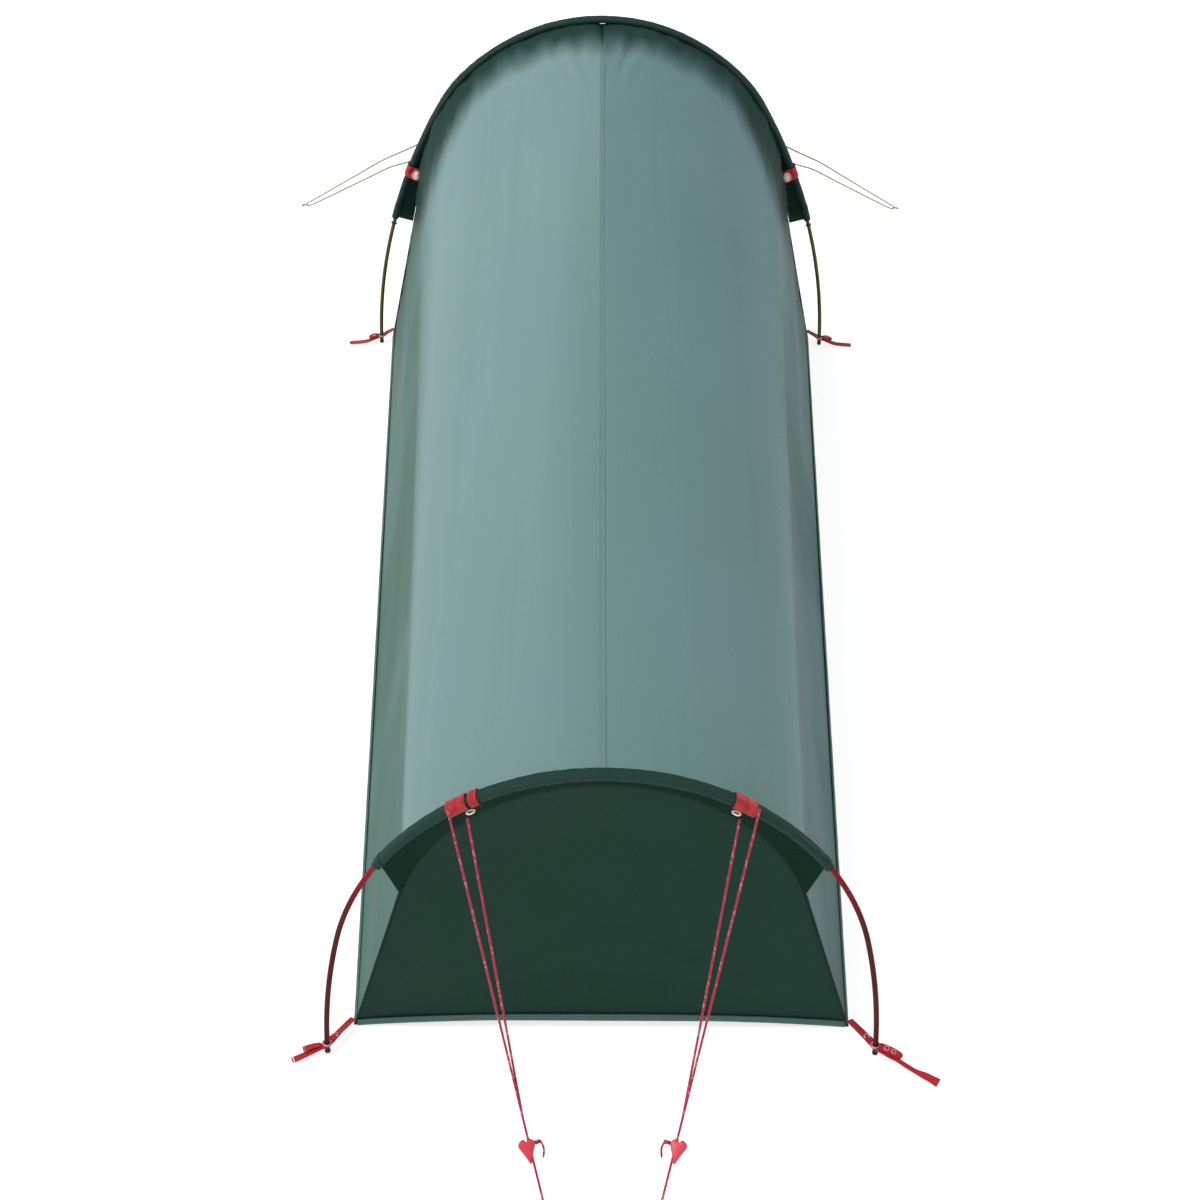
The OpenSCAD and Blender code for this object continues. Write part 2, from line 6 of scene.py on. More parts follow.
import bmesh
import bpy
import numpy as np
from mathutils import Matrix, Vector, noise
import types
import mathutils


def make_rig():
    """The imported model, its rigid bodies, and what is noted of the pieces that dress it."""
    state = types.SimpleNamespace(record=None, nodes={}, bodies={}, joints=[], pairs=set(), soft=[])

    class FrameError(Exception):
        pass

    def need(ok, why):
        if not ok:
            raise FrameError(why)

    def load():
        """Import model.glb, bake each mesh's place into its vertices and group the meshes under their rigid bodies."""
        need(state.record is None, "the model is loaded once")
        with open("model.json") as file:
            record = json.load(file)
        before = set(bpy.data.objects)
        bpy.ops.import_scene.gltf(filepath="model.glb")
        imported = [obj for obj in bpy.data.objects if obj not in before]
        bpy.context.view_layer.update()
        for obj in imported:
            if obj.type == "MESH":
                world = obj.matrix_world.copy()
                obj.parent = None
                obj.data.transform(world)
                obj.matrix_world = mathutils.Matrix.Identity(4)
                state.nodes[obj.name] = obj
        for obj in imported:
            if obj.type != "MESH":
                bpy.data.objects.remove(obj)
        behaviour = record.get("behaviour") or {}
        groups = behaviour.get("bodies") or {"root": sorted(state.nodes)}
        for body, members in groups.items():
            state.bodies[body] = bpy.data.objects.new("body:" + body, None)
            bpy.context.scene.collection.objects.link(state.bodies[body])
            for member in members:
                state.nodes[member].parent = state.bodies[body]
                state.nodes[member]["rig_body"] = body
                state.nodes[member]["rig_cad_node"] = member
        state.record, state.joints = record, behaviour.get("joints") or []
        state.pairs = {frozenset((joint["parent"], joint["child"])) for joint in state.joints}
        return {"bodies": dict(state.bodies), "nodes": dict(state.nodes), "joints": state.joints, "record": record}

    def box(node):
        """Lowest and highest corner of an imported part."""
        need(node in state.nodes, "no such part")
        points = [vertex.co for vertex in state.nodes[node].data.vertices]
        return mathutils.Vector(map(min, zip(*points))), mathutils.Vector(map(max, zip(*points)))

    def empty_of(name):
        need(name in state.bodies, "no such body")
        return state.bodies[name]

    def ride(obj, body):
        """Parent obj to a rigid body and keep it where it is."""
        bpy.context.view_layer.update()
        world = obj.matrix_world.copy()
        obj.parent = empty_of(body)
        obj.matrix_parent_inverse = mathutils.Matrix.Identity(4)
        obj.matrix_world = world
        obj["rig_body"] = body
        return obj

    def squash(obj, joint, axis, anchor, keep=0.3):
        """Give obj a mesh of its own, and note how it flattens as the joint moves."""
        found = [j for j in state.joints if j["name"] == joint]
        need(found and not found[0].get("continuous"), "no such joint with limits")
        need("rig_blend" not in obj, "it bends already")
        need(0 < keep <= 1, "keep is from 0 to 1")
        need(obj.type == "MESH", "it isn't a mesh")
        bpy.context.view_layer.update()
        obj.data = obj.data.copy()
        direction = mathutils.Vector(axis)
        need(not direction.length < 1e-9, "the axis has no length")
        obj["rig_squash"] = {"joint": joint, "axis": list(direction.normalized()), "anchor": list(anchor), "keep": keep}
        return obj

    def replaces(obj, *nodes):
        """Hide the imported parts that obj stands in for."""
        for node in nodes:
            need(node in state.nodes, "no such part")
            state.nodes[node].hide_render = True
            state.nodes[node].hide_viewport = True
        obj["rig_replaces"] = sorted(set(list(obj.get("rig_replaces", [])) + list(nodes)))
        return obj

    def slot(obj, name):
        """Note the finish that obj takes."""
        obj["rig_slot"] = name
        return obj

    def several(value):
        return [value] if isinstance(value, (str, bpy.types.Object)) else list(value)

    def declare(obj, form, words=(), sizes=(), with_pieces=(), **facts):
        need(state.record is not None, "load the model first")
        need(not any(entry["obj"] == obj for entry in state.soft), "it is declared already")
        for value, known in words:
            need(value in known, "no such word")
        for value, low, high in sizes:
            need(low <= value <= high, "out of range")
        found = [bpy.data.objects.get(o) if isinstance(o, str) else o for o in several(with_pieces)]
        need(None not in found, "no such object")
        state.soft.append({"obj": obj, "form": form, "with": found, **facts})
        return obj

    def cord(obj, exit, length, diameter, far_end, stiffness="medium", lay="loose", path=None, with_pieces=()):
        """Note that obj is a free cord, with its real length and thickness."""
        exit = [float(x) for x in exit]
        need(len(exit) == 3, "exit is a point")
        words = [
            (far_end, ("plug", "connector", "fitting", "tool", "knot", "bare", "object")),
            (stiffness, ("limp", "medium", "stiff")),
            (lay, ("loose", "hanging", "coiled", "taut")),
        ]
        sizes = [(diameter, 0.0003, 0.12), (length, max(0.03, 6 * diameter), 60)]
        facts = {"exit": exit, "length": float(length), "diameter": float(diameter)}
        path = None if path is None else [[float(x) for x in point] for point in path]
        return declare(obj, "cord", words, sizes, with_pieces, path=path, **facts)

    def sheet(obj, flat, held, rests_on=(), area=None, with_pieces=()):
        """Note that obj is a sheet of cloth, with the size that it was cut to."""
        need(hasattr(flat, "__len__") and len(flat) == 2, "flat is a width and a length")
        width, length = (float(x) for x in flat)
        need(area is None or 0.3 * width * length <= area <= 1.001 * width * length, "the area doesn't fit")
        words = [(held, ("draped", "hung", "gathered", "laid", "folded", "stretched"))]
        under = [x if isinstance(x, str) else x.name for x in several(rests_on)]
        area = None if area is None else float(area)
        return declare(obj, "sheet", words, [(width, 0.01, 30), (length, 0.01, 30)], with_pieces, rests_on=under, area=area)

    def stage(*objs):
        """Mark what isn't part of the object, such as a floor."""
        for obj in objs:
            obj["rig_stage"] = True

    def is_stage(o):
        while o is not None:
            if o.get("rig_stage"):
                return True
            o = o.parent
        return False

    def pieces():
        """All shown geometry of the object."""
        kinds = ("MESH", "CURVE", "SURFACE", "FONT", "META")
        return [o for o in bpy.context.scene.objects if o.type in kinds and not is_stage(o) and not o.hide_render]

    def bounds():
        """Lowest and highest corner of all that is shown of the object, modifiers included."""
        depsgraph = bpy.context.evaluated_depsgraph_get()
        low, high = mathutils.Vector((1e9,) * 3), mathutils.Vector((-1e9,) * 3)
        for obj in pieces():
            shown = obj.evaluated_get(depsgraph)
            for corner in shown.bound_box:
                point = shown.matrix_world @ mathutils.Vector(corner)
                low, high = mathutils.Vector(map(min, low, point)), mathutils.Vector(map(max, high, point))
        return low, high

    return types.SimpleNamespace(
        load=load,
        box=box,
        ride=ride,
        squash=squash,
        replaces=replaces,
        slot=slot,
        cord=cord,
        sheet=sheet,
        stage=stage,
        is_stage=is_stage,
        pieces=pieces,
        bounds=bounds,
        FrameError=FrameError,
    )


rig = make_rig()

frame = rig.load()
CAD_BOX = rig.bounds()
NODES = frame["nodes"]
UP = Vector((0, 0, 1))

# ---- Camera ------------------------------------------------------------------
CAMERA_AT = (-0.020, -3.955, 2.794)
CAMERA_PITCH, CAMERA_YAW, CAMERA_ROLL = 34.58, -0.26, 0.41
CAMERA_LENS = 74.68


def add_camera():
    data = bpy.data.cameras.new("camera")
    data.sensor_width = 36
    data.lens = CAMERA_LENS
    data.clip_end = 200
    camera = bpy.data.objects.new("camera", data)
    bpy.context.scene.collection.objects.link(camera)
    turn = (Matrix.Rotation(math.radians(CAMERA_YAW), 4, "Z")
            @ Matrix.Rotation(math.radians(90 - CAMERA_PITCH), 4, "X")
            @ Matrix.Rotation(math.radians(CAMERA_ROLL), 4, "Z"))
    camera.matrix_world = Matrix.Translation(CAMERA_AT) @ turn
    bpy.context.scene.camera = camera


add_camera()


# ---- Shapes of the hoops and of the cloth ------------------------------------
class Hoop:
    """A top arc and two leg arcs that meet it smoothly. Angles in degrees run from the right
    foot (0) over the top (90) to the left foot (180)."""

    def __init__(self, half, top, r, y):
        self.half, self.top, self.r, self.y = half, top, r, y
        self.leg_r = (half ** 2 + top ** 2 - 2 * top * r) / (2 * (half - r))
        self.join = math.degrees(math.atan2(top - r, self.leg_r - half))

    def point(self, phi, out=0.0, along=0.0):
        side = -1 if phi > 90 else 1
        low = min(phi, 180 - phi)
        a = math.radians(low)
        if low < self.join:
            x = self.half - self.leg_r + (self.leg_r + out) * math.cos(a)
            z = (self.leg_r + out) * math.sin(a)
        else:
            x = (self.r + out) * math.cos(a)
            z = self.top - self.r + (self.r + out) * math.sin(a)
        return Vector((side * x, self.y + along, z))

    def outward(self, phi):
        return (self.point(phi, 0.01) - self.point(phi)).normalized()

    def metres(self, phi):
        """Distance along the hoop from the right foot, near enough for texture and relief."""
        return math.radians(phi) * (self.r + self.leg_r) / 2


class Profile:
    """The cloth's outline at one end: a straight side for k from 0 to 1, then an arc that
    reaches the ridge at k = 2. The end plane is y = at - lean * z."""

    def __init__(self, half, top, r, at, lean):
        self.half, self.top, self.r, self.at, self.lean = half, top, r, at, lean
        rise = top - r
        self.touch = math.acos(r / math.hypot(half, rise)) - math.atan2(rise, half)

    def point(self, k, out=0.0):
        r, half = self.r + out, self.half + out
        touch = (r * math.cos(self.touch), self.top - self.r + r * math.sin(self.touch))
        if k < 1:
            x, z = half + (touch[0] - half) * k, touch[1] * k
        else:
            a = self.touch + (math.pi / 2 - self.touch) * (k - 1)
            x, z = r * math.cos(a), self.top - self.r + r * math.sin(a)
        return Vector((x, self.at - self.lean * z, z))

    def beside(self, p):
        """k of the place on the outline nearest to a point outside it."""
        rise = self.top - self.r
        a = math.atan2(p.z - rise, abs(p.x))
        if a > self.touch:
            return 1 + (a - self.touch) / (math.pi / 2 - self.touch)
        return p.z / (rise + self.r * math.sin(self.touch))

    def length(self, k0=0.0, k1=2.0, steps=60):
        pts = [self.point(k0 + (k1 - k0) * i / steps) for i in range(steps + 1)]
        return sum((b - a).length for a, b in zip(pts, pts[1:]))


FOOT = Hoop(0.428, 0.556, 0.412, -1.150)
HEAD = Hoop(0.508, 0.788, 0.404, 1.150)
FOOT_CLOTH = Profile(0.390, 0.533, 0.318, -1.090, 0.095)
HEAD_CLOTH = Profile(0.483, 0.776, 0.400, 1.177, 0.035)
RIDGE_SAG = 0.012
FLY_LENGTH = 2.27
SLEEVE_W, SLEEVE_H = 0.024, 0.013
FOOT_SLEEVE_PHI, HEAD_SLEEVE_PHI = 36, 16
FOOT_HOOD_K, HEAD_HOOD_K = 1.0, 0.66
FOOT_PATCH_PHI, HEAD_TAB_PHI = 60, 22
DOOR_TOP, DOOR_HALF, DOOR_SILL = 0.690, 0.420, 0.045
SLIDER_Z = 0.095
HOOD_FILL = 0.8  # chosen, not measured: share of its flat rectangle that a hood is taken to fill
STRAP_Z = 0.018
CLOTH_T = 0.0006
STRAP_W = 0.015
TIP_HOLE_R = 0.0056
CORD_D = 0.0035


# ---- Cord routes, left side --------------------------------------------------
def metres(points):
    return [Vector(p) / 1000 for p in points]


FOOT_GUY = metres([(-226, -1166, 506), (-14, -1806, 6)])
FOOT_RETURN = metres([(-197, -1170, 490), (-112, -1506, 233)])
HEAD_GUY = metres([
    (-404, 1152, 497), (-452, 1226, 443), (-500, 1304, 388), (-560, 1432, 300), (-620, 1560, 212),
    (-680, 1688, 124), (-730, 1794, 51), (-752, 1840, 19), (-761, 1858, 7),
    (-764, 1868, 3), (-760, 1875, 2), (-753, 1875, 2), (-749, 1869, 3),
    (-746, 1858, 7), (-737, 1838, 19), (-716, 1792, 48), (-664, 1678, 122),
    (-604, 1546, 208), (-544, 1414, 294), (-484, 1282, 380), (-446, 1217, 420),
    (-404, 1151, 462)])
RUNNER_AT = Vector((-0.100, -1.546, 0.209))
SLIDE = 0.12


# ---- Mesh helpers ------------------------------------------------------------
def heading(path, i):
    """Direction of a path at its i-th point."""
    return (path[min(i + 1, len(path) - 1)] - path[max(i - 1, 0)]).normalized()


def upright_to(axis):
    """Rotation that turns up into the given axis."""
    return UP.rotation_difference(Vector(axis).normalized()).to_matrix()


def circle(count):
    return (2 * math.pi * j / count for j in range(count))


def flip(p, side):
    """The point on the given side (-1 left, 1 right) for one made on the left."""
    return Vector((-p[0] if side > 0 else p[0], p[1], p[2]))


def new_object(name, verts, faces, smooth=True):
    mesh = bpy.data.meshes.new(name)
    mesh.from_pydata([tuple(v) for v in verts], [], faces)
    mesh.validate()
    if smooth:
        mesh.shade_smooth()
    obj = bpy.data.objects.new(name, mesh)
    bpy.context.scene.collection.objects.link(obj)
    return obj


def add_uv(obj, name, per_vertex):
    layer = obj.data.uv_layers.new(name=name)
    index = np.empty(len(obj.data.loops), int)
    obj.data.loops.foreach_get("vertex_index", index)
    layer.data.foreach_set("uv", np.asarray(per_vertex, float)[index].ravel())


def tidy_normals(obj, merge=0.0):
    """Merges points that fall together and turns every face the same way out."""
    bm = bmesh.new()
    bm.from_mesh(obj.data)
    if merge:
        bmesh.ops.remove_doubles(bm, verts=bm.verts, dist=merge)
        bmesh.ops.dissolve_degenerate(bm, edges=bm.edges, dist=merge)
    bmesh.ops.recalc_face_normals(bm, faces=bm.faces)
    bm.to_mesh(obj.data)
    bm.free()


def grid(name, rows, uvs=None, closed=False, caps=False, merge=0.0):
    """A surface through rows of points; closed joins each row's end to its start."""
    n, m = len(rows), len(rows[0])
    verts = [p for row in rows for p in row]
    span = m if closed else m - 1
    faces = [(i * m + j, i * m + (j + 1) % m, (i + 1) * m + (j + 1) % m, (i + 1) * m + j)
             for i in range(n - 1) for j in range(span)]
    if caps:
        faces += [tuple(range(m)), tuple((n - 1) * m + j for j in reversed(range(m)))]
    obj = new_object(name, verts, faces)
    for layer, values in (uvs or {}).items():
        add_uv(obj, layer, [v for row in values for v in row])
    if merge or closed:
        tidy_normals(obj, merge)
    return obj


def area_of(obj):
    return sum(face.area for face in obj.data.polygons)


def thicken(obj, thickness, offset=-1.0):
    mod = obj.modifiers.new("thickness", "SOLIDIFY")
    mod.thickness = thickness
    mod.offset = offset
    return obj


def bevel(obj, width):
    mod = obj.modifiers.new("edges", "BEVEL")
    mod.width = width
    mod.segments = 2
    mod.limit_method = "ANGLE"
    mod.angle_limit = math.radians(40)
    return obj


def join(name, objects):
    """One object of several meshes, with their modifiers left off."""
    bm = bmesh.new()
    materials = []
    for o in objects:
        offset = len(materials)
        materials += [s.material for s in o.material_slots] or [None]
        start = len(bm.faces)
        bm.from_mesh(o.data)
        bm.faces.ensure_lookup_table()
        for f in bm.faces[start:]:
            f.material_index += offset
    mesh = bpy.data.meshes.new(name)
    bm.to_mesh(mesh)
    bm.free()
    for m in materials:
        mesh.materials.append(m)
    for o in objects:
        bpy.data.objects.remove(o)
    obj = bpy.data.objects.new(name, mesh)
    bpy.context.scene.collection.objects.link(obj)
    return obj


def turned(name, profile, centre, axis=UP, segments=32):
    """A lathe shape: profile is (radius, height) pairs from bottom to top."""
    spin = upright_to(axis)
    rows = []
    for r, h in profile:
        ring = [Vector((r * math.cos(a), r * math.sin(a), h))
                for a in circle(segments)]
        rows.append([Vector(centre) + spin @ p for p in ring])
    return grid(name, rows, closed=True, caps=True)


def torus(name, centre, axis, radius, wire, around=40, sides=14, relief=0.0):
    """A ring whose wire is slightly uneven where relief is given."""
    spin = upright_to(axis)
    rows = []
    for i in range(around):
        a = 2 * math.pi * i / around
        w = wire / 2 * (1 + relief * noise.noise(Vector((3 * math.cos(a), 3 * math.sin(a), radius * 90))))
        rows.append([Vector(centre) + spin @ Vector((
            (radius + w * math.cos(b)) * math.cos(a), (radius + w * math.cos(b)) * math.sin(a),
            w * math.sin(b))) for b in circle(sides)])
    rows.append(rows[0])
    obj = grid(name, rows, closed=True)
    tidy_normals(obj, 1e-6)
    return obj


def smooth_path(points, step=0.006):
    """Points along a Catmull-Rom curve through the given ones."""
    pts = [Vector(p) for p in points]
    pts = [2 * pts[0] - pts[1]] + pts + [2 * pts[-1] - pts[-2]]
    out = []
    for a, b, c, d in zip(pts, pts[1:], pts[2:], pts[3:]):
        n = max(1, round((c - b).length / step))
        for i in range(n):
            t = i / n
            out.append(0.5 * (2 * b + (c - a) * t + (2 * a - 5 * b + 4 * c - d) * t * t
                              + (3 * b - a - 3 * c + d) * t ** 3))
    return out + [pts[-2]]


def frames_along(path, first=UP):
    """(point, side direction, up direction) at each point, without twist between them."""
    out, last = [], Vector(first)
    for i, p in enumerate(path):
        d = heading(path, i)
        up = (last - d * last.dot(d))
        up = up.normalized() if up.length > 1e-4 else d.orthogonal().normalized()
        out.append((p, d.cross(up), up))
        last = up
    return out


def run_of(path):
    """Distance from the start at each point of a path."""
    out = [0.0]
    for a, b in zip(path, path[1:]):
        out.append(out[-1] + (b - a).length)
    return out


def tube(name, path, radius, sides=12, taper=0):
    """A round tube; taper rounds off that many rings at each end."""
    last = len(path) - 1
    rows, uvs = [], []
    for (p, s, u), run in zip(frames_along(path), run_of(path)):
        i = len(rows)
        close = min(i, last - i)
        r = radius * (math.sin((close + 0.6) / (taper + 0.6) * math.pi / 2) if close < taper else 1)
        rows.append([p + r * (math.cos(a) * s + math.sin(a) * u) for a in circle(sides)])
        uvs.append([(run, j / sides) for j in range(sides)])
    return grid(name, rows, {"run": uvs}, closed=True, caps=True)


def ribbon(name, stations, width, thickness):
    """Flat webbing. A station is (point, direction of the flat face, width factor)."""
    path = smooth_path([s[0] for s in stations], 0.0025)
    knots = run_of([Vector(s[0]) for s in stations])
    total = run_of(path)[-1]
    rows, uvs = [], []
    for i, (p, run) in enumerate(zip(path, run_of(path))):
        t = run / total * knots[-1]
        j = max(n for n in range(len(knots) - 1) if knots[n] <= t + 1e-9)
        f = min(1.0, (t - knots[j]) / (knots[j + 1] - knots[j]))
        f = f * f * (3 - 2 * f)
        face = Vector(stations[j][1]).lerp(Vector(stations[j + 1][1]), f)
        wide = stations[j][2] * (1 - f) + stations[j + 1][2] * f
        d = heading(path, i)
        face = (face - d * face.dot(d)).normalized()
        across = d.cross(face)
        w, h = width * wide / 2, thickness / 2
        c = 0.7 * h
        section = [(-w, -c), (-w + c, -h), (-w / 2, -h), (0, -h), (w / 2, -h), (w - c, -h), (w, -c),
                   (w, c), (w - c, h), (w / 2, h), (0, h), (-w / 2, h), (-w + c, h), (-w, c)]
        rows.append([p + a * across + b * face for a, b in section])
        uvs.append([(run, a) for a, b in section])
    return grid(name, rows, {"run": uvs}, closed=True, caps=True)


def stitches(name, path, normal, pitch=0.0045, size=0.0030, wide=0.0007):
    """A row of short raised threads along a path; normal is a direction or a function."""
    runs = run_of(path)
    verts, faces = [], []
    i, at = 0, pitch / 2
    while at < runs[-1] - size / 2:
        while runs[i + 1] < at:
            i += 1
        f = (at - runs[i]) / (runs[i + 1] - runs[i])
        p = path[i].lerp(path[i + 1], f)
        d = (path[i + 1] - path[i]).normalized()
        up = normal(p) if callable(normal) else Vector(normal)
        up = (up - d * up.dot(d)).normalized()
        s = d.cross(up)
        base = len(verts)
        for along, half, lift in ((-0.5, 0.5, -0.2), (-0.3, 1, 0.6), (0.3, 1, 0.6), (0.5, 0.5, -0.2)):
            verts += [p + d * size * along + s * wide / 2 * half + up * wide * (lift - 0.6),
                      p + d * size * along + up * wide * lift,
                      p + d * size * along - s * wide / 2 * half + up * wide * (lift - 0.6)]
        for q in range(3):
            a, b = base + 3 * q, base + 3 * q + 3
            faces += [(a, b, b + 1, a + 1), (a + 1, b + 1, b + 2, a + 2), (a + 2, b + 2, b, a)]
        faces += [(base, base + 1, base + 2), (base + 11, base + 10, base + 9)]
        at += pitch
    obj = new_object(name, verts, faces)
    tidy_normals(obj)
    return obj


def wave(*coords, seed=0.0):
    """Smooth noise from -1 to 1 at up to three coordinates."""
    c = list(coords) + [0.0] * (3 - len(coords))
    return noise.noise(Vector((c[0] + seed * 17.3, c[1] - seed * 9.1, c[2] + seed * 4.7)))


# ---- Material helpers --------------------------------------------------------
def srgb(r, g, b):
    """Linear colour for an sRGB one from 0 to 255."""
    def one(c):
        c /= 255
        return c / 12.92 if c <= 0.04045 else ((c + 0.055) / 1.055) ** 2.4
    return (one(r), one(g), one(b), 1.0)


class Look:
    """A procedural material under construction."""

    def __init__(self, name, roughness=0.6, metallic=0.0, specular=0.4, sheen=0.0):
        self.material = bpy.data.materials.new(name)
        self.material.use_nodes = True
        self.tree = self.material.node_tree
        self.shader = self.tree.nodes["Principled BSDF"]
        self.set("Roughness", roughness)
        self.set("Metallic", metallic)
        self.set("Specular IOR Level", specular)
        self.set("Sheen Weight", sheen)

    def set(self, socket, value):
        self.shader.inputs[socket].default_value = value

    def node(self, kind, inputs=None, **props):
        made = self.tree.nodes.new(kind)
        for key, value in props.items():
            setattr(made, key, value)
        for key, value in (inputs or {}).items():
            if isinstance(value, bpy.types.NodeSocket):
                self.tree.links.new(value, made.inputs[key])
            else:
                made.inputs[key].default_value = value
        return made

    def uv(self, name):
        return self.node("ShaderNodeUVMap", uv_map=name).outputs[0]

    def place(self):
        return self.node("ShaderNodeTexCoord").outputs["Object"]

    def split(self, vector):
        return self.node("ShaderNodeSeparateXYZ", {0: vector}).outputs

    def stretched(self, vector, scale):
        return self.node("ShaderNodeMapping", {"Vector": vector, "Scale": scale}).outputs[0]

    def noise(self, vector, scale, detail=2.0, rough=0.5):
        return self.node("ShaderNodeTexNoise", {
            "Vector": vector, "Scale": scale, "Detail": detail, "Roughness": rough}).outputs["Fac"]

    def math(self, operation, a, b=0.0, c=0.0):
        return self.node("ShaderNodeMath", {0: a, 1: b, 2: c}, operation=operation).outputs[0]

    def remap(self, value, low, high, to_low=0.0, to_high=1.0, smooth=True):
        made = self.node("ShaderNodeMapRange", {
            "Value": value, "From Min": low, "From Max": high, "To Min": to_low, "To Max": to_high},
            interpolation_type="SMOOTHSTEP" if smooth else "LINEAR")
        return made.outputs["Result"]

    def mix(self, factor, a, b, blend="MIX"):
        made = self.node("ShaderNodeMix", data_type="RGBA", blend_type=blend)
        for key, value in ((0, factor), (6, a), (7, b)):
            if isinstance(value, bpy.types.NodeSocket):
                self.tree.links.new(value, made.inputs[key])
            else:
                made.inputs[key].default_value = value
        return made.outputs[2]

    def shade(self, colour, value, low, high):
        """The colour times a factor that goes from low to high as value goes from 0 to 1."""
        factor = self.remap(value, 0.0, 1.0, low, high, smooth=False)
        grey = self.node("ShaderNodeCombineXYZ", {0: factor, 1: factor, 2: factor}).outputs[0]
        return self.mix(1.0, colour, grey, "MULTIPLY")

    def bump(self, height, strength, distance, normal=None):
        inputs = {"Height": height, "Strength": strength, "Distance": distance}
        if normal is not None:
            inputs["Normal"] = normal
        return self.node("ShaderNodeBump", inputs).outputs[0]

    def link(self, socket, value):
        self.tree.links.new(value, self.shader.inputs[socket])

    def done(self, colour, normal=None, roughness=None):
        self.link("Base Color", colour)
        if normal is not None:
            self.link("Normal", normal)
        if roughness is not None:
            self.link("Roughness", roughness)
        return self.material


def threads(look, vector, pitch, ripstop=0.0):
    """Height of a plain weave of the given pitch, with thicker ripstop threads if asked for."""
    x, y, z = look.split(vector)
    turn = 2 * math.pi / pitch
    warp = look.math("SINE", look.math("MULTIPLY", x, turn))
    weft = look.math("SINE", look.math("MULTIPLY", look.math("ADD", y, z), turn))
    height = look.math("MULTIPLY_ADD", look.math("MULTIPLY", warp, weft), 0.25, 0.5)
    if ripstop:
        for axis in (x, look.math("ADD", y, z)):
            line = look.math("PINGPONG", axis, ripstop / 2)
            thick = look.remap(line, 0.0, 0.0004, 1.0, 0.0)
            height = look.math("MAXIMUM", height, thick)
    return height


WEAVE = 0.0008  # pitch of the tent cloth's weave


def cloth_look(name, colour, roughness=0.7, vary=0.10, ripstop=0.005, streaks=(7.0, 1.4, 3.0)):
    """Coated woven cloth: fine weave, ripstop lines, soft blotches and tension streaks."""
    look = Look(name, roughness, specular=0.12)
    at = look.place()
    blotch = look.noise(at, 2.6, 3.0)
    streak = look.noise(look.stretched(at, streaks), 3.0, 3.0, 0.55)
    fibre = look.noise(at, 900.0, 1.0)
    weft = threads(look, at, WEAVE, ripstop)
    tint = look.shade(srgb(*colour), blotch, 1 - vary, 1 + vary)
    tint = look.shade(tint, streak, 1 - vary * 0.8, 1 + vary * 0.8)
    tint = look.shade(tint, fibre, 0.95, 1.05)
    # painted shade in the weave's hollows, lighter on the raised and ripstop threads
    tint = look.shade(tint, weft, 0.93, 1.05)
    crumple = look.noise(look.stretched(at, streaks), 9.0, 4.0, 0.6)
    normal = look.bump(crumple, 0.35, 0.003)
    normal = look.bump(weft, 0.45, 0.0003, normal)
    rough = look.remap(blotch, 0.3, 0.7, roughness - 0.06, roughness + 0.06)
    return look.done(tint, normal, rough)


def fly_look(name, light, low, band, foot_tone):
    """The fly's cloth. The panel map gives height round the profile and place along the tent, so the side wall's
    painted shade, the darker end at the head and the soft tone changes follow the cloth."""
    look = Look(name, specular=0.08)
    at = look.place()
    panel = look.split(look.uv("panel"))
    cloth = look.uv("cloth")
    k = look.math("MULTIPLY", panel[0], 2.0)
    along = panel[1]
    # side wall painted darker as shade below the roof: a crisp edge at the foot that turns soft toward the head
    softness = look.remap(along, 0.0, 0.9, 0.035, 0.30, smooth=False)
    past_side = look.math("DIVIDE", look.math("SUBTRACT", k, 0.985), softness)
    on_roof = look.remap(past_side, -0.5, 1.0)
    # painted shading along the tent: the roof colour blends from the foot tone to the head tone
    tint = look.mix(look.remap(along, 0.0, 1.0, smooth=False), srgb(*foot_tone), srgb(*light))
    # the side wall's painted shade
    tint = look.mix(on_roof, srgb(*low), tint)
    # long soft streaks and blotches
    streak = look.noise(look.stretched(cloth, (26.0, 0.9, 1.0)), 1.0, 3.0, 0.6)
    broad = look.noise(look.stretched(cloth, (5.0, 0.7, 1.0)), 1.0, 2.0, 0.5)
    cloud = look.noise(at, 1.7, 2.0)
    tint = look.shade(tint, streak, 0.95, 1.05)
    tint = look.shade(tint, broad, 0.93, 1.07)
    cool = look.mix(0.5, tint, srgb(125, 155, 165))
    tint = look.mix(look.remap(cloud, 0.42, 0.62, 0.0, 0.45), tint, cool)
    # painted shade along the ridge crease, weaker toward the head
    seam = look.math("MULTIPLY", look.remap(k, 1.72, 1.99), look.remap(along, 0.3, 0.95, 0.8, 0.25))
    tint = look.mix(seam, tint, srgb(112, 145, 143))
    # dark band that fades in toward the head hoop
    from_head = look.math("MULTIPLY", look.math("SUBTRACT", 1.0, along), FLY_LENGTH)
    reach = look.remap(k, 0.6, 1.0, 0.0, 0.165)
    reach = look.math("SUBTRACT", reach, look.remap(k, 1.05, 1.6, 0.0, 0.105))
    ragged = look.noise(look.stretched(cloth, (22.0, 5.0, 1.0)), 1.0, 3.0, 0.5)
    reach = look.math("ADD", reach, look.remap(ragged, 0.3, 0.7, -0.017, 0.017, smooth=False))
    width = look.remap(k, 1.0, 1.6, 0.21, 0.085)
    past = look.math("DIVIDE", look.math("SUBTRACT", from_head, reach), width)
    fade = look.remap(past, -0.3, 1.0, 1.0, 0.0)
    tint = look.mix(fade, tint, srgb(*band))
    fibre = look.noise(at, 900.0, 1.0)
    weft = threads(look, cloth, WEAVE, 0.005)
    tint = look.shade(tint, fibre, 0.97, 1.03)
    # painted shade in the weave's hollows, lighter on the raised and ripstop threads
    tint = look.shade(tint, weft, 0.965, 1.02)
    crumple = look.noise(look.stretched(cloth, (24.0, 2.6, 1.0)), 1.0, 4.0, 0.6)
    normal = look.bump(crumple, 0.22, 0.004)
    normal = look.bump(weft, 0.3, 0.0003, normal)
    rough = look.remap(broad, 0.3, 0.7, 0.55, 0.68)
    return look.done(tint, normal, rough)


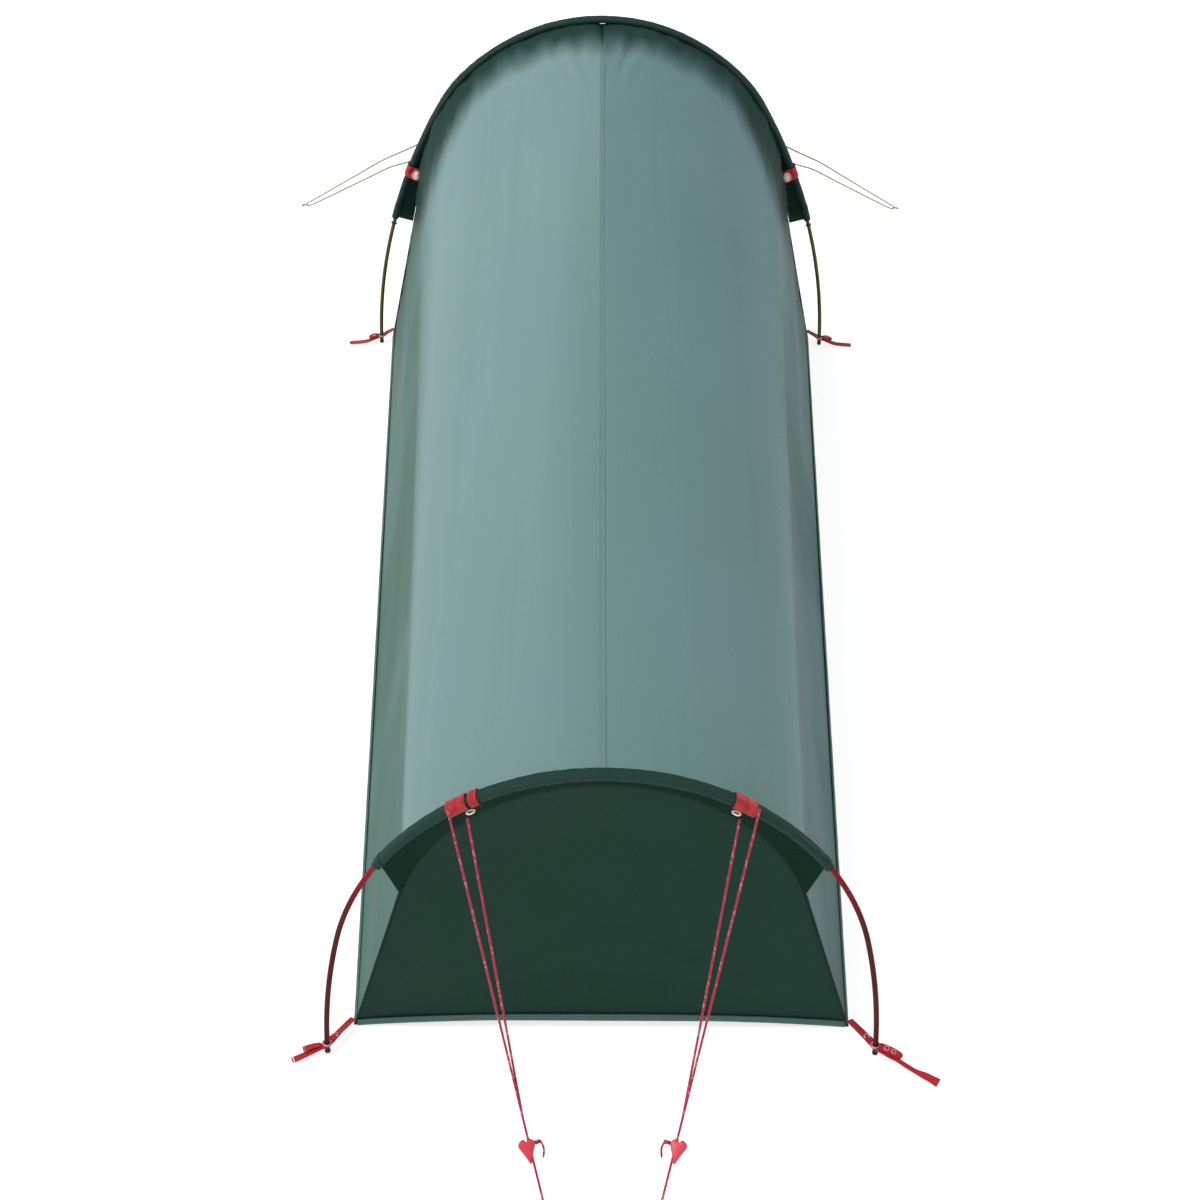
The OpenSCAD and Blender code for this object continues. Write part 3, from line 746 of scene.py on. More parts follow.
def webbing_look(name, colour, edge):
    """Flat nylon webbing: crosswise ribs, diagonal yarns, and slightly worn paler edges."""
    look = Look(name, 0.55, specular=0.4, sheen=0.3)
    look.set("Sheen Roughness", 0.3)
    run, across, _ = look.split(look.uv("run"))
    at = look.place()
    slant = look.math("ABSOLUTE", across)
    ribs = look.math("SINE", look.math("MULTIPLY", look.math("ADD", run, slant), 2 * math.pi / 0.0011))
    yarns = look.math("SINE", look.math("MULTIPLY", across, 2 * math.pi / 0.0012))
    height = look.math("MULTIPLY_ADD", look.math("ADD", ribs, yarns), 0.25, 0.5)
    worn = look.noise(at, 60.0, 4.0, 0.6)
    fleck = look.noise(at, 500.0, 2.0)
    border = look.remap(slant, 0.0055, 0.0078)
    tint = look.mix(look.math("MULTIPLY", border, look.remap(worn, 0.35, 0.7)), srgb(*colour), srgb(*edge))
    tint = look.shade(tint, worn, 0.86, 1.14)
    # painted shade in the hollows between the ribs and yarns, lighter on their crests
    tint = look.shade(tint, height, 0.80, 1.10)
    tint = look.shade(tint, fleck, 0.92, 1.08)
    return look.done(tint, look.bump(height, 0.7, 0.0004), look.remap(worn, 0.3, 0.7, 0.48, 0.66))


def cord_look(name, colour, fleck, dark, share=0.56):
    """Braided cord: crossing yarns in the main colour with flecks of a second one, and painted shade in the grooves
    between them.
    """
    look = Look(name, 0.62, specular=0.35, sheen=0.3)
    run, round_it, _ = look.split(look.uv("run"))
    turns = look.math("MULTIPLY", round_it, 4.0)
    steps = look.math("MULTIPLY", run, 1 / 0.0036)
    left = look.math("FRACT", look.math("ADD", turns, steps))
    right = look.math("FRACT", look.math("SUBTRACT", turns, steps))
    ridge_a = look.math("SINE", look.math("MULTIPLY", left, math.pi))
    ridge_b = look.math("SINE", look.math("MULTIPLY", right, math.pi))
    height = look.math("MAXIMUM", ridge_a, ridge_b)
    cell = look.node("ShaderNodeCombineXYZ", {
        0: look.math("FLOOR", look.math("MULTIPLY", look.math("ADD", turns, steps), 0.5)),
        1: look.math("FLOOR", look.math("SUBTRACT", turns, steps)), 2: 0.0}).outputs[0]
    pick = look.node("ShaderNodeTexWhiteNoise", {"Vector": cell}, noise_dimensions="3D").outputs["Value"]
    at = look.place()
    soil = look.noise(at, 25.0, 3.0)
    tint = look.mix(look.remap(pick, share, share + 0.04), srgb(*colour), srgb(*fleck))
    # painted shade: the dark colour fills the grooves between the yarns
    tint = look.mix(look.remap(height, 0.55, 0.95), srgb(*dark), tint)
    tint = look.shade(tint, soil, 0.88, 1.12)
    return look.done(tint, look.bump(height, 0.8, 0.0004), look.remap(soil, 0.3, 0.7, 0.55, 0.7))


def pole_look(name, upper, lower, z_low, z_high, metallic=0.25, roughness=0.42):
    """Anodised tube whose colour deepens toward the ground as painted reflection and shade, with fine drawing lines and
    scuffs.
    """
    look = Look(name, roughness, metallic, specular=0.22)
    at = look.place()
    z = look.split(at)[2]
    lines = look.noise(look.stretched(at, (700.0, 700.0, 5.0)), 1.0, 2.0)
    scuff = look.noise(look.stretched(at, (60.0, 60.0, 9.0)), 1.0, 5.0, 0.7)
    # painted reflection and shade: the colour deepens from upper to lower toward the ground
    tint = look.mix(look.remap(z, z_low, z_high), srgb(*lower), srgb(*upper))
    tint = look.shade(tint, lines, 0.90, 1.10)
    tint = look.mix(look.remap(scuff, 0.66, 0.80, 0.0, 0.12), tint, srgb(150, 120, 104))
    rough = look.remap(scuff, 0.4, 0.8, roughness - 0.05, roughness + 0.22)
    return look.done(tint, look.bump(lines, 0.12, 0.0002), rough)


def moulded_look(name, colour, roughness=0.42, metallic=0.0, grain=900.0, vary=0.10, worn=None,
                 bump=0.15):
    """Moulded plastic or plated metal: fine grain, soft mottling, and edges that have rubbed."""
    look = Look(name, roughness, metallic, specular=0.5)
    at = look.place()
    fine = look.noise(at, grain, 2.0)
    soft = look.noise(at, 45.0, 3.0)
    tint = look.shade(srgb(*colour), soft, 1 - vary, 1 + vary)
    tint = look.shade(tint, fine, 0.96, 1.04)
    if worn:
        tint = look.mix(look.remap(soft, 0.56, 0.74, 0.0, 0.6), tint, srgb(*worn))
    rough = look.remap(soft, 0.3, 0.7, roughness - 0.07, roughness + 0.09)
    return look.done(tint, look.bump(fine, bump, 0.0002), rough)


def thread_look(name, colour):
    return moulded_look(name, colour, 0.7, grain=1500, bump=0.3)


def groundsheet_look():
    """Heavy coated floor cloth with a crinkled film."""
    look = Look("groundsheet cloth", 0.5, specular=0.45)
    at = look.place()
    crinkle = look.node("ShaderNodeTexVoronoi", {"Vector": at, "Scale": 26.0}, feature="DISTANCE_TO_EDGE")
    folds = look.noise(at, 9.0, 4.0, 0.6)
    weft = threads(look, at, 0.0012)
    tint = look.shade(srgb(62, 68, 70), folds, 0.85, 1.15)
    # painted shade in the weave's hollows, lighter on the raised threads
    tint = look.shade(tint, weft, 0.92, 1.06)
    normal = look.bump(folds, 0.4, 0.004)
    normal = look.bump(crinkle.outputs["Distance"], 0.25, 0.002, normal)
    normal = look.bump(weft, 0.3, 0.0004, normal)
    return look.done(tint, normal, look.remap(folds, 0.3, 0.7, 0.42, 0.6))


MAT = {
    # Both fly halves are one sage cloth: the left half's lighter colour is painted light and the right half's darker,
    # bluer one is painted shade from the key light at the upper left.
    "fly_left": fly_look("fly cloth left", (135, 165, 164), (72, 109, 99), (36, 64, 58),
                         (122, 153, 151)),
    "fly_right": fly_look("fly cloth right", (109, 142, 145), (72, 106, 104), (37, 64, 60),
                          (113, 146, 141)),
    "hem": cloth_look("hem cloth", (86, 119, 112), ripstop=0),
    "sleeve": cloth_look("dark green cloth", (36, 64, 58), 0.62, 0.16, streaks=(5, 5, 5)),
    # the foot hood's cloth is the dark green cloth darkened further as painted shade under the sleeve
    "hood": cloth_look("dark green hood cloth", (0, 40, 27), 0.8, 0.14, streaks=(5, 5, 5)),
    # dark green cloth, made darker still by painted shade on the end walls
    "wall": cloth_look("end wall cloth", (25, 58, 47), streaks=(4, 4, 2)),
    "wall_hem": cloth_look("end wall hem cloth", (74, 106, 99), vary=0.12, ripstop=0),
    "piping": cloth_look("seam binding", (24, 46, 40), vary=0.12, ripstop=0),
    "door": cloth_look("door cloth", (58, 98, 86)),
    "thread_light": thread_look("pale thread", (150, 172, 166)),
    "seam_thread": thread_look("fly thread", (116, 147, 144)),
    "thread_dark": thread_look("dark thread", (22, 38, 34)),
    "thread_red": thread_look("red thread", (150, 30, 44)),
    "zip_tape": webbing_look("zip tape", (26, 30, 30), (44, 48, 48)),
    "zip_teeth": moulded_look("zip teeth", (34, 36, 37), 0.4),
    "zip_metal": moulded_look("zip metal", (120, 122, 124), 0.32, 0.9, worn=(168, 168, 166)),
    "webbing": webbing_look("red webbing", (190, 24, 34), (222, 84, 92)),
    "head_webbing": webbing_look("sun faded webbing", (186, 74, 70), (160, 138, 96)),
    "strap_end": webbing_look("cut webbing end", (150, 120, 84), (176, 150, 110)),
    "patch": webbing_look("red patch webbing", (186, 22, 38), (205, 60, 72)),
    "eyelet": moulded_look("eyelet metal", (222, 156, 166), 0.34, 0.5, worn=(236, 206, 206)),
    "ring": moulded_look("pale ring", (230, 224, 206), 0.3, 0.15, worn=(196, 176, 138)),
    "runner": moulded_look("runner plastic", (224, 60, 84), 0.45, vary=0.08, worn=(238, 120, 134)),
    "red_cord": cord_look("crimson cord", (198, 28, 74), (214, 150, 158), (128, 14, 44), 0.84),
    "olive_cord": cord_look("pale olive cord", (118, 142, 100), (160, 176, 132), (74, 92, 62), 0.7),
    # red anodised tube; its darkening toward the ground is painted reflection and shade
    "foot_pole": pole_look("red anodised tube", (150, 12, 30), (82, 1, 2), 0.25, 0.41, 0.0, 0.6),
    # the head pole is red anodised tube; its olive brown colour is painted reflection
    "head_pole": pole_look("red anodised tube painted olive brown as reflection", (104, 92, 44), (88, 76, 36), 0.05, 0.5),
    "ferrule": moulded_look("ferrule metal", (160, 162, 164), 0.35, 0.9),
    "elastic": cord_look("elastic", (26, 26, 26), (60, 60, 58), (12, 12, 12)),
    "shock_cord": moulded_look("shock cord braid", (28, 28, 30), 0.7, grain=1200, bump=0.5),
    "tip": moulded_look("black plastic", (9, 9, 10), 0.6, worn=(24, 23, 22)),
    "ground": groundsheet_look(),
}


def skin(obj, *names):
    """Gives an object its materials, the first one on every face that has no other."""
    for n in names:
        obj.data.materials.append(MAT[n])
    return obj


def piece(obj, slot, body="tent", replaced=()):
    """Names, slots and mounts a finished piece on its body, in place of the CAD nodes given."""
    obj.name = obj.name.split(".")[0] + "_made"
    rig.ride(obj, body)
    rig.slot(obj, slot)
    if replaced:
        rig.replaces(obj, *replaced)
    return obj


def refinish(node, material):
    """A new material on a CAD node that stays as it is."""
    obj = NODES[node]
    if not obj.material_slots:
        obj.data.materials.append(None)
    for s in obj.material_slots:
        s.link = "OBJECT"
        s.material = MAT[material]


# ---- Cords -------------------------------------------------------------------
SIDES = ((-1, "left"), (1, "right"))


def trefoil(name, centre, size, radius, along, material):
    """An overhand knot pulled into a bead."""
    spin = upright_to(along)
    path = []
    for i in range(73):
        t = 2 * math.pi * i / 72
        p = Vector((math.sin(t) + 2 * math.sin(2 * t), math.cos(t) - 2 * math.cos(2 * t),
                    -math.sin(3 * t)))
        path.append(Vector(centre) + spin @ (p * size / 3))
    return skin(tube(name, path, radius, 10), material)


def end_loop(side, label):
    """The tied loop at a foot guyline's far end: a knot and a flat bight beyond it."""
    knot_at = flip(Vector((-0.016, -1.812, 0.0065)), side)
    centre = flip(Vector((-0.017, -1.828, 0.0026)), side)
    loop = torus("loop", centre, UP, 0.0118, 0.0030, 48, 10)
    add_uv(loop, "run", [(0.012 * math.atan2(v.co.y - centre.y, v.co.x - centre.x), 0.25)
                         for v in loop.data.vertices])
    knot = trefoil("knot", knot_at, 0.0042, 0.0014, (0.2 * side, -1, 0.1), "red_cord")
    skin(loop, "red_cord")
    return piece(join(f"guy_end_loop_{label}", [loop, knot]), "red_cord", "tent", ["guy_end_loops"])


def guyline_axes(side):
    """Directions at a foot guyline: along it to the tent, and level and outward."""
    along = (flip(FOOT_GUY[0], side) - flip(FOOT_GUY[1], side)).normalized()
    return along, UP.cross(along).normalized() * -side


def runner(side, label):
    """Heart-shaped cord runner: two round lobes toward the tent and a blunt tip away from it."""
    along, across = guyline_axes(side)
    centre = flip(RUNNER_AT, side) + across * 0.004
    front = across.cross(along).normalized()
    lobe, tip, lobe_x, lobe_z = 0.0066, -0.020, 0.0055, 0.0066
    outline = [(0.0012, tip), (0.0045, tip + 0.009)]
    outline += [(lobe_x + lobe * math.cos(a), lobe_z + lobe * math.sin(a))
                for a in (math.radians(d) for d in range(-25, 146, 17))]
    outline += [(0.0, lobe_z + 0.0022)]
    outline += [(-x, z) for x, z in reversed(outline[:-1])]
    rings = []
    for depth, shrink in ((-1, 0.88), (-0.72, 0.975), (-0.3, 1), (0.3, 1), (0.72, 0.975), (1, 0.88)):
        rings.append([centre + across * x * shrink + along * ((z + 0.004) * shrink - 0.004)
                      + front * 0.003 * depth for x, z in outline])
    body = grid("body", rings, closed=True, caps=True)
    skin(body, "runner")
    parts = [body]
    for x in (lobe_x - 0.0012, -lobe_x + 0.0012):
        at = centre + across * x + along * (lobe_z + lobe + 0.0001)
        mouth = torus("mouth", at, along, 0.0026, 0.0013, 20, 8)
        parts.append(skin(mouth, "runner"))
    made = join(f"runner_{label}", parts)
    made.data.shade_smooth()
    bevel(made, 0.0006)
    return piece(made, "runner_plastic", f"runner_{label}", [f"runner_{label}"])


def runner_knot(side, label):
    """Knot at the runner's inner lobe with a curved tail that hangs beside it."""
    along, across = guyline_axes(side)
    across = -across
    centre = flip(RUNNER_AT, side) + across * 0.0122 + along * 0.007
    bead = trefoil("bead", centre, 0.0048, 0.0015, along, "red_cord")
    hang = [centre, centre + across * 0.0045 - along * 0.002, centre + across * 0.0062 - along * 0.009,
            centre + across * 0.0046 - along * 0.017, centre + across * 0.0022 - along * 0.023]
    tail = skin(tube("tail", smooth_path(hang, 0.002), 0.0016, 10, 2), "red_cord")
    return piece(join(f"runner_knot_{label}", [bead, tail]), "red_cord", f"runner_{label}",
                 [f"runner_knot_{label}"])


def cord_tube(name, route, step, side, material):
    """A cord's smooth path on the given side, and its tube as a piece in the CAD cord's place."""
    path = smooth_path([flip(p, side) for p in route], step)
    made = skin(tube(name, path, CORD_D / 2), material)
    return path, piece(made, material, "tent", [name])


def guylines(side, label):
    """The main strand, the return strand that the runner pays out, and the head guyline."""
    path, main = cord_tube(f"foot_guy_{label}", FOOT_GUY, 0.006, side, "red_cord")
    pieces_on = [end_loop(side, label), runner(side, label), runner_knot(side, label)]
    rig.cord(main, exit=path[0], length=0.839, diameter=CORD_D, far_end="knot", stiffness="limp",
            lay="taut", path=path, with_pieces=pieces_on)

    path, back = cord_tube(f"foot_guy_return_{label}", FOOT_RETURN[::-1], 0.006, side, "red_cord")
    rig.cord(back, exit=path[-1], length=0.432, diameter=CORD_D, far_end="object", stiffness="limp",
            lay="taut", path=path)
    top, low = path[-1], path[0]
    long = (top - low).length
    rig.squash(back, f"runner_{label}_slide", axis=(low - top).normalized(), anchor=top,
              keep=(long - SLIDE) / long)

    path, head = cord_tube(f"head_guy_{label}", HEAD_GUY, 0.008, side, "olive_cord")
    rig.cord(head, exit=path[0], length=run_of(HEAD_GUY)[-1], diameter=CORD_D, far_end="object",
            stiffness="limp", lay="taut", path=path)


for side, label in SIDES:
    guylines(side, label)


# ---- Fly ---------------------------------------------------------------------
def bell(value, centre, width):
    return math.exp(-((value - centre) / width) ** 2)


def fly_relief(k, s, from_head, from_foot, side):
    """How far the fly stands off its smooth shape, k round the profile and s from the ridge."""
    seed = 1.0 if side < 0 else 2.0
    span = from_foot / FLY_LENGTH
    gather = 0.0048 * math.exp(-from_head / 0.085) * wave(s * 34, from_head * 3.0, seed=seed)
    pucker = 0.0022 * math.exp(-from_foot / 0.055) * wave(s * 36, from_foot * 4.0, seed=seed + 3)
    # drag lines that run from the head seam in toward the ridge
    reach = max(0.05, 0.46 - from_head)
    drag = (0.0145 * bell(from_head, 0.14, 0.10) * bell(s, 0.0, 0.13)
            * wave(s / reach * 19 + from_head * 3, from_head * 2.5, seed=seed + 5))
    edge = (0.0075 * bell(from_head, 0.10, 0.12) * bell(k, 1.15, 0.28)
            * wave(s * 16 - from_head * 9, from_head * 5, seed=seed + 6))
    shoulder = (0.0046 * bell(k, 0.95, 0.30) * math.exp(-from_foot / 0.6)
                * wave(s * 22, from_foot * 0.9, seed=seed + 7))
    long = 0.0011 * wave(s * 9, from_foot * 0.8, seed=seed + 9) * 4 * span * (1 - span)
    waist = -0.007 * 4 * span * (1 - span) * bell(k, 0.55, 0.5)
    lift = 0.0095 * math.exp(-((from_head - 0.03) / 0.045) ** 2) * min(1, max(0, (k - 0.66) / 0.2))
    return gather + pucker + drag + edge + shoulder + long + waist + lift


def fly_half(side, label):
    around, along = 116, 190
    ks = [2 * i / around for i in range(around + 1)]
    vs = [0.5 - 0.5 * math.cos(math.pi * j / along) for j in range(along + 1)]
    vs = [0.35 * v + 0.65 * j / along for j, v in enumerate(vs)]
    foot_s = [FOOT_CLOTH.length(k, 2.0) for k in ks]
    head_s = [HEAD_CLOTH.length(k, 2.0) for k in ks]
    base = np.zeros((around + 1, along + 1, 3))
    for i, k in enumerate(ks):
        f, h = FOOT_CLOTH.point(k), HEAD_CLOTH.point(k)
        for j, v in enumerate(vs):
            p = f.lerp(h, v)
            base[i, j] = (p.x, p.y, p.z - RIDGE_SAG * 4 * v * (1 - v) * max(0, k - 0.5) / 1.5)
    normal = np.cross(np.gradient(base, axis=1), np.gradient(base, axis=0))
    normal /= np.linalg.norm(normal, axis=2, keepdims=True)
    normal[-1] = (0, 0, 1)
    rows, cloth, panel = [], [], []
    for i, k in enumerate(ks):
        row, c_row, p_row = [], [], []
        for j, v in enumerate(vs):
            s = foot_s[i] + (head_s[i] - foot_s[i]) * v
            relief = fly_relief(k, s, FLY_LENGTH * (1 - v), FLY_LENGTH * v, side)
            relief *= min(1.0, (k + 0.02) / 0.12) * min(1.0, (2.015 - k) / 0.05)
            p = base[i, j] + normal[i, j] * relief
            row.append((side * max(0.0003, p[0]), p[1], max(0.0, p[2])))
            c_row.append((s, v * FLY_LENGTH))
            p_row.append((k / 2, v))
        rows.append(row)
        cloth.append(c_row)
        panel.append(p_row)
    half = grid(f"roof_{label}", rows, {"cloth": cloth, "panel": panel})
    outward = half.data.polygons[len(half.data.polygons) // 2]
    if outward.normal.x * side < 0:
        half.data.flip_normals()
    skin(half, f"fly_{label}")
    thicken(half, CLOTH_T)
    # the left half's slot is the sage cloth with painted light, the right half's the same cloth with painted shade
    slot = "sage_cloth" if side < 0 else "grey_green_cloth"
    piece(half, slot, "tent", [f"roof_{label}"])
    foot_w, head_w = FOOT_CLOTH.length(), HEAD_CLOTH.length()
    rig.sheet(half, flat=(head_w, FLY_LENGTH), held="stretched", area=(foot_w + head_w) / 2 * FLY_LENGTH,
             rests_on=["foot_pole_sleeve", "head_pole_sleeve"])


def fly_point(side, k, v, out=0.0):
    p = FOOT_CLOTH.point(k, out).lerp(HEAD_CLOTH.point(k, out), v)
    return Vector((side * p.x, p.y, p.z - RIDGE_SAG * 4 * v * (1 - v) * max(0, k - 0.5) / 1.5))


def ridge_seam():
    """Lapped ridge seam with two rows of stitching."""
    steps, half = 120, 0.0045
    lift = lambda v: Vector((0, 0, 0.0004 + 0.0016 * bell(FLY_LENGTH * (1 - v), 0.03, 0.045)))
    line = [fly_point(1, 2, i / steps) for i in range(steps + 1)]
    section = [(-half, -0.0009), (-half, -0.0003), (-half * 0.7, 0.0001), (0, 0.0001), (half * 0.7, 0.0001),
               (half, -0.0003), (half, -0.0009)]
    rows = [[Vector((a, p.y, p.z + b)) + lift(i / steps) for a, b in section] for i, p in enumerate(line)]
    uvs = {"cloth": [[(a, FLY_LENGTH * i / steps) for a, _ in section] for i in range(len(rows))],
           "panel": [[(1.0, i / steps)] * len(section) for i in range(len(rows))]}
    seam = grid("seam", rows, uvs, closed=True, caps=True)
    skin(seam, "fly_right")
    parts = [seam]
    for x in (-0.003, 0.003):
        path = [Vector((x, p.y, p.z + 0.0003)) + lift(i / steps) for i, p in enumerate(line)]
        parts.append(skin(stitches("stitch", path, UP, 0.005), "seam_thread"))
    piece(join("ridge_seam", parts), "seam_tape", "tent", ["ridge_tape"])


def side_hem(side, label):
    """Folded hem along the fly's ground edge with a row of stitching."""
    steps, top_k = 110, 0.05
    rows, uvs = [], []
    for i in range(steps + 1):
        v = i / steps
        puff = 0.0004 * wave(v * 60, seed=side)
        ks = ((0.0, 0.0005), (0.0, 0.0021), (0.02, 0.0025), (top_k - 0.006, 0.0021), (top_k, 0.0006))
        rows.append([fly_point(side, k, v, out + puff) + Vector((0, 0, 0.0004)) for k, out in ks])
        uvs.append([(k, v * FLY_LENGTH) for k, _ in ks])
    hem = grid("hem", rows, {"cloth": uvs}, closed=True, caps=True)
    skin(hem, "hem")
    path = [fly_point(side, top_k - 0.012, i / steps, 0.0026) for i in range(steps + 1)]
    thread = skin(stitches("stitch", path, (side, 0, 0.2), 0.005), "thread_dark")
    piece(join(f"hem_{label}", [hem, thread]), "hem_cloth", "tent", [f"hem_{label}"])


for side, label in SIDES:
    fly_half(side, label)
    side_hem(side, label)
ridge_seam()


# ---- Sleeves, hoods and what is sewn to them ---------------------------------
def wrap_rows(hoop, phis, w, h, sides, relief):
    """Rows of points of a flattened tube round the hoop; relief(run, turn) swells it."""
    rows = []
    for phi in phis:
        out = hoop.outward(phi)
        row = []
        for j in range(sides):
            a = 2 * math.pi * j / sides
            c, s = math.cos(a), math.sin(a)
            flat = abs(c) ** 0.75 * (1 if c > 0 else -1), abs(s) ** 0.75 * (1 if s > 0 else -1)
            swell = relief(hoop.metres(phi), a)
            if hoop is HEAD and c > 0:
                swell += 0.0055 * bell(min(phi, 180 - phi), 34, 15)
            row.append(hoop.point(phi) + out * (flat[0] * h / 2 + c * swell)
                       + Vector((0, flat[1] * w / 2 + s * swell, 0)))
        rows.append(row)
    return rows


def sleeve(hoop, start, name, seed):
    steps, sides = 240, 28
    phis = [start + (180 - 2 * start) * i / steps for i in range(steps + 1)]

    def relief(run, turn):
        ends = min(1.0, 0.4 + 0.6 * abs(math.sin(turn)))
        return (0.0009 * wave(run * 42, 2 * math.cos(turn), 2 * math.sin(turn), seed=seed) * ends
                + 0.0006 * wave(run * 110, 3 * math.cos(turn), 3 * math.sin(turn), seed=seed + 2))
    body = grid(name, wrap_rows(hoop, phis, SLEEVE_W, SLEEVE_H, sides, relief), closed=True)
    skin(body, "sleeve")
    parts = [body]
    for first, last in ((start, start + 1.6), (180 - start - 1.6, 180 - start)):
        cuff_phis = [first + (last - first) * i / 8 for i in range(9)]
        cuff = wrap_rows(hoop, cuff_phis, SLEEVE_W + 0.0014, SLEEVE_H + 0.0014, sides, relief)
        parts.append(skin(grid("cuff", cuff, closed=True), "sleeve"))
    for turn in (-60, 60):
        a = math.radians(90 + turn)
        out, beside = math.cos(a) * (SLEEVE_H / 2 + 0.0007), math.sin(a) * (SLEEVE_W / 2 - 0.0002)
        path = [hoop.point(p) + hoop.outward(p) * out + Vector((0, beside, 0)) for p in phis]
        parts.append(skin(stitches("stitch", path, (0, -1, 0.5), 0.006), "thread_dark"))
    made = join(name, parts)
    thicken(made, 0.0005)
    return piece(made, "dark_green_cloth", "tent", [name])


def hood(hoop, profile, start, k0, lap, past, node, seed):
    """Cloth between the sleeve's underside and the end seam of the fly. Its free lower edge
    slants from the sleeve's end down the seam."""
    steps, deep, corner, drop = 170, 10, 0.16, SLEEVE_H / 2 - 0.001
    slant = profile.beside(hoop.point(start, -drop)) - k0
    rows = []
    for i in range(steps + 1):
        w = i / steps
        t = 2 * w if w < 0.5 else 2 - 2 * w
        phi = start + w * (180 - 2 * start)
        rim, out = hoop.point(phi, -drop), hoop.outward(phi)
        p = profile.point(profile.beside(rim) - slant * max(0, 1 - t / corner), lap)
        edge = Vector((p.x if w < 0.5 else -p.x, p.y + past, p.z))
        row = []
        for j in range(deep + 1):
            f = j / deep
            crease = (0.0013 * wave(w * 30, f * 1.5, seed=seed)
                      + 0.0008 * wave(w * 75, f * 2, seed=seed + 4))
            row.append(rim.lerp(edge, f) + out * crease * math.sin(math.pi * f) * min(1, 8 * t + 0.3))
        rows.append(row)
    made = grid(f"{node}_cloth", rows)
    # the foot hood takes the darker copy of the dark green cloth, painted shade under the sleeve
    skin(made, "hood" if hoop is FOOT else "sleeve")
    area = area_of(made)
    length = sum((b[deep // 2] - a[deep // 2]).length for a, b in zip(rows, rows[1:]))
    thicken(made, CLOTH_T, 0.0)
    piece(made, "dark_green_cloth", "tent", [node])
    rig.sheet(made, flat=(area / length / HOOD_FILL, length), held="stretched", area=area,
             rests_on=["foot_pole_sleeve" if hoop is FOOT else "head_pole_sleeve"])


sleeve(FOOT, FOOT_SLEEVE_PHI, "foot_pole_sleeve", 1)
sleeve(HEAD, HEAD_SLEEVE_PHI, "head_pole_sleeve", 2)
hood(FOOT, FOOT_CLOTH, FOOT_SLEEVE_PHI, FOOT_HOOD_K, -0.002, -0.0022, "foot_hood", 3)
hood(HEAD, HEAD_CLOTH, HEAD_SLEEVE_PHI, HEAD_HOOD_K, 0.0028, 0.004, "head_hood", 4)


def ring(name, centre, axis, radius):
    return skin(torus(name, centre, axis, radius, 0.0026, 44, 14, 0.06), "ring")


def webbing_wrap(hoop, side, middle, low, high, steps, relief):
    """Webbing round a sleeve: its angles, its rows of points and its mesh."""
    phis = [middle + low + (high - low) * i / steps for i in range(steps + 1)]
    if side < 0:
        phis = [180 - p for p in phis]
    rows = wrap_rows(hoop, phis, SLEEVE_W + 0.0036, SLEEVE_H + 0.0036, 32, relief)
    start = hoop.metres(phis[steps // 2])
    uvs = [[(0.09 * j / 32, hoop.metres(p) - start) for j in range(32)] for p in phis]
    return phis, rows, skin(grid("wrap", rows, {"run": uvs}, closed=True), "patch")


def foot_patches():
    """Red webbing wrapped round the foot sleeve, its edges stitched."""
    parts = []
    relief = lambda run, turn: 0.0005 * wave(run * 70, math.cos(turn), math.sin(turn), seed=8)
    for side, spans in ((1, [(-2.3, 2.7)]), (-1, [(-3.2, 1.3), (2.0, 3.9)])):
        for low, high in spans:
            phis, rows, wrap = webbing_wrap(FOOT, side, FOOT_PATCH_PHI, low, high, 16, relief)
            parts.append(wrap)
            for i in (1, 15):
                centre = FOOT.point(phis[i])
                thread = stitches("stitch", rows[i] + rows[i][:1], lambda p: p - centre, 0.004, 0.0026)
                parts.append(skin(thread, "thread_red"))
    made = join("foot_guy_patches", parts)
    thicken(made, 0.0009, 1.0)
    piece(made, "red_webbing", "tent", ["foot_guy_patches"])


def head_tabs():
    """Red tabs on the head sleeve: a band round it and a web down to the ring."""
    parts = []
    relief = lambda run, turn: 0.0004 * wave(run * 70, math.cos(turn), math.sin(turn), seed=9)
    for side in (1, -1):
        phis, _, band = webbing_wrap(HEAD, side, HEAD_TAB_PHI, -0.62, 0.62, 12, relief)
        parts.append(band)
        phi = phis[6]
        out, at = HEAD.outward(phi), HEAD.point(phi)
        ahead = Vector((0.2 * side, -1, 0.35))
        web = [(at + out * up + Vector((0, -front, 0)), ahead, wide) for up, front, wide in (
            (0.006, 0.0135, 1.5), (-0.006, 0.0160, 1.6), (-0.016, 0.0185, 1.6), (-0.024, 0.0200, 1.3))]
        parts.append(skin(ribbon("web", web, 0.015, 0.0012), "patch"))
    made = join("head_guy_tabs", parts)
    thicken(made, 0.0008, 1.0)
    piece(made, "red_webbing", "tent", ["head_guy_tabs"])


def rings():
    parts = []
    for side in (1, -1):
        foot_phi = FOOT_PATCH_PHI + 1.5 if side > 0 else 180 - FOOT_PATCH_PHI - 1.5
        head_phi = HEAD_TAB_PHI if side > 0 else 180 - HEAD_TAB_PHI
        at = FOOT.point(foot_phi, -0.009, -0.016)
        parts.append(ring("ring", at, (0.3 * side, 0.2, 1), 0.0062))
        at = HEAD.point(head_phi, -0.012, -0.021)
        facing = Vector((0.35 * side, -1, 0.6))
        parts.append(ring("ring", at, facing, 0.0080))
        dome = [(0.0045, -0.0015), (0.0062, -0.0005), (0.0055, 0.0008), (0.0018, 0.0014)]
        parts.append(skin(turned("dome", dome, at, facing, 24), "ring"))
    piece(join("guy_rings", parts), "ring_plastic", "tent", ["guy_rings"])


foot_patches()
head_tabs()
rings()


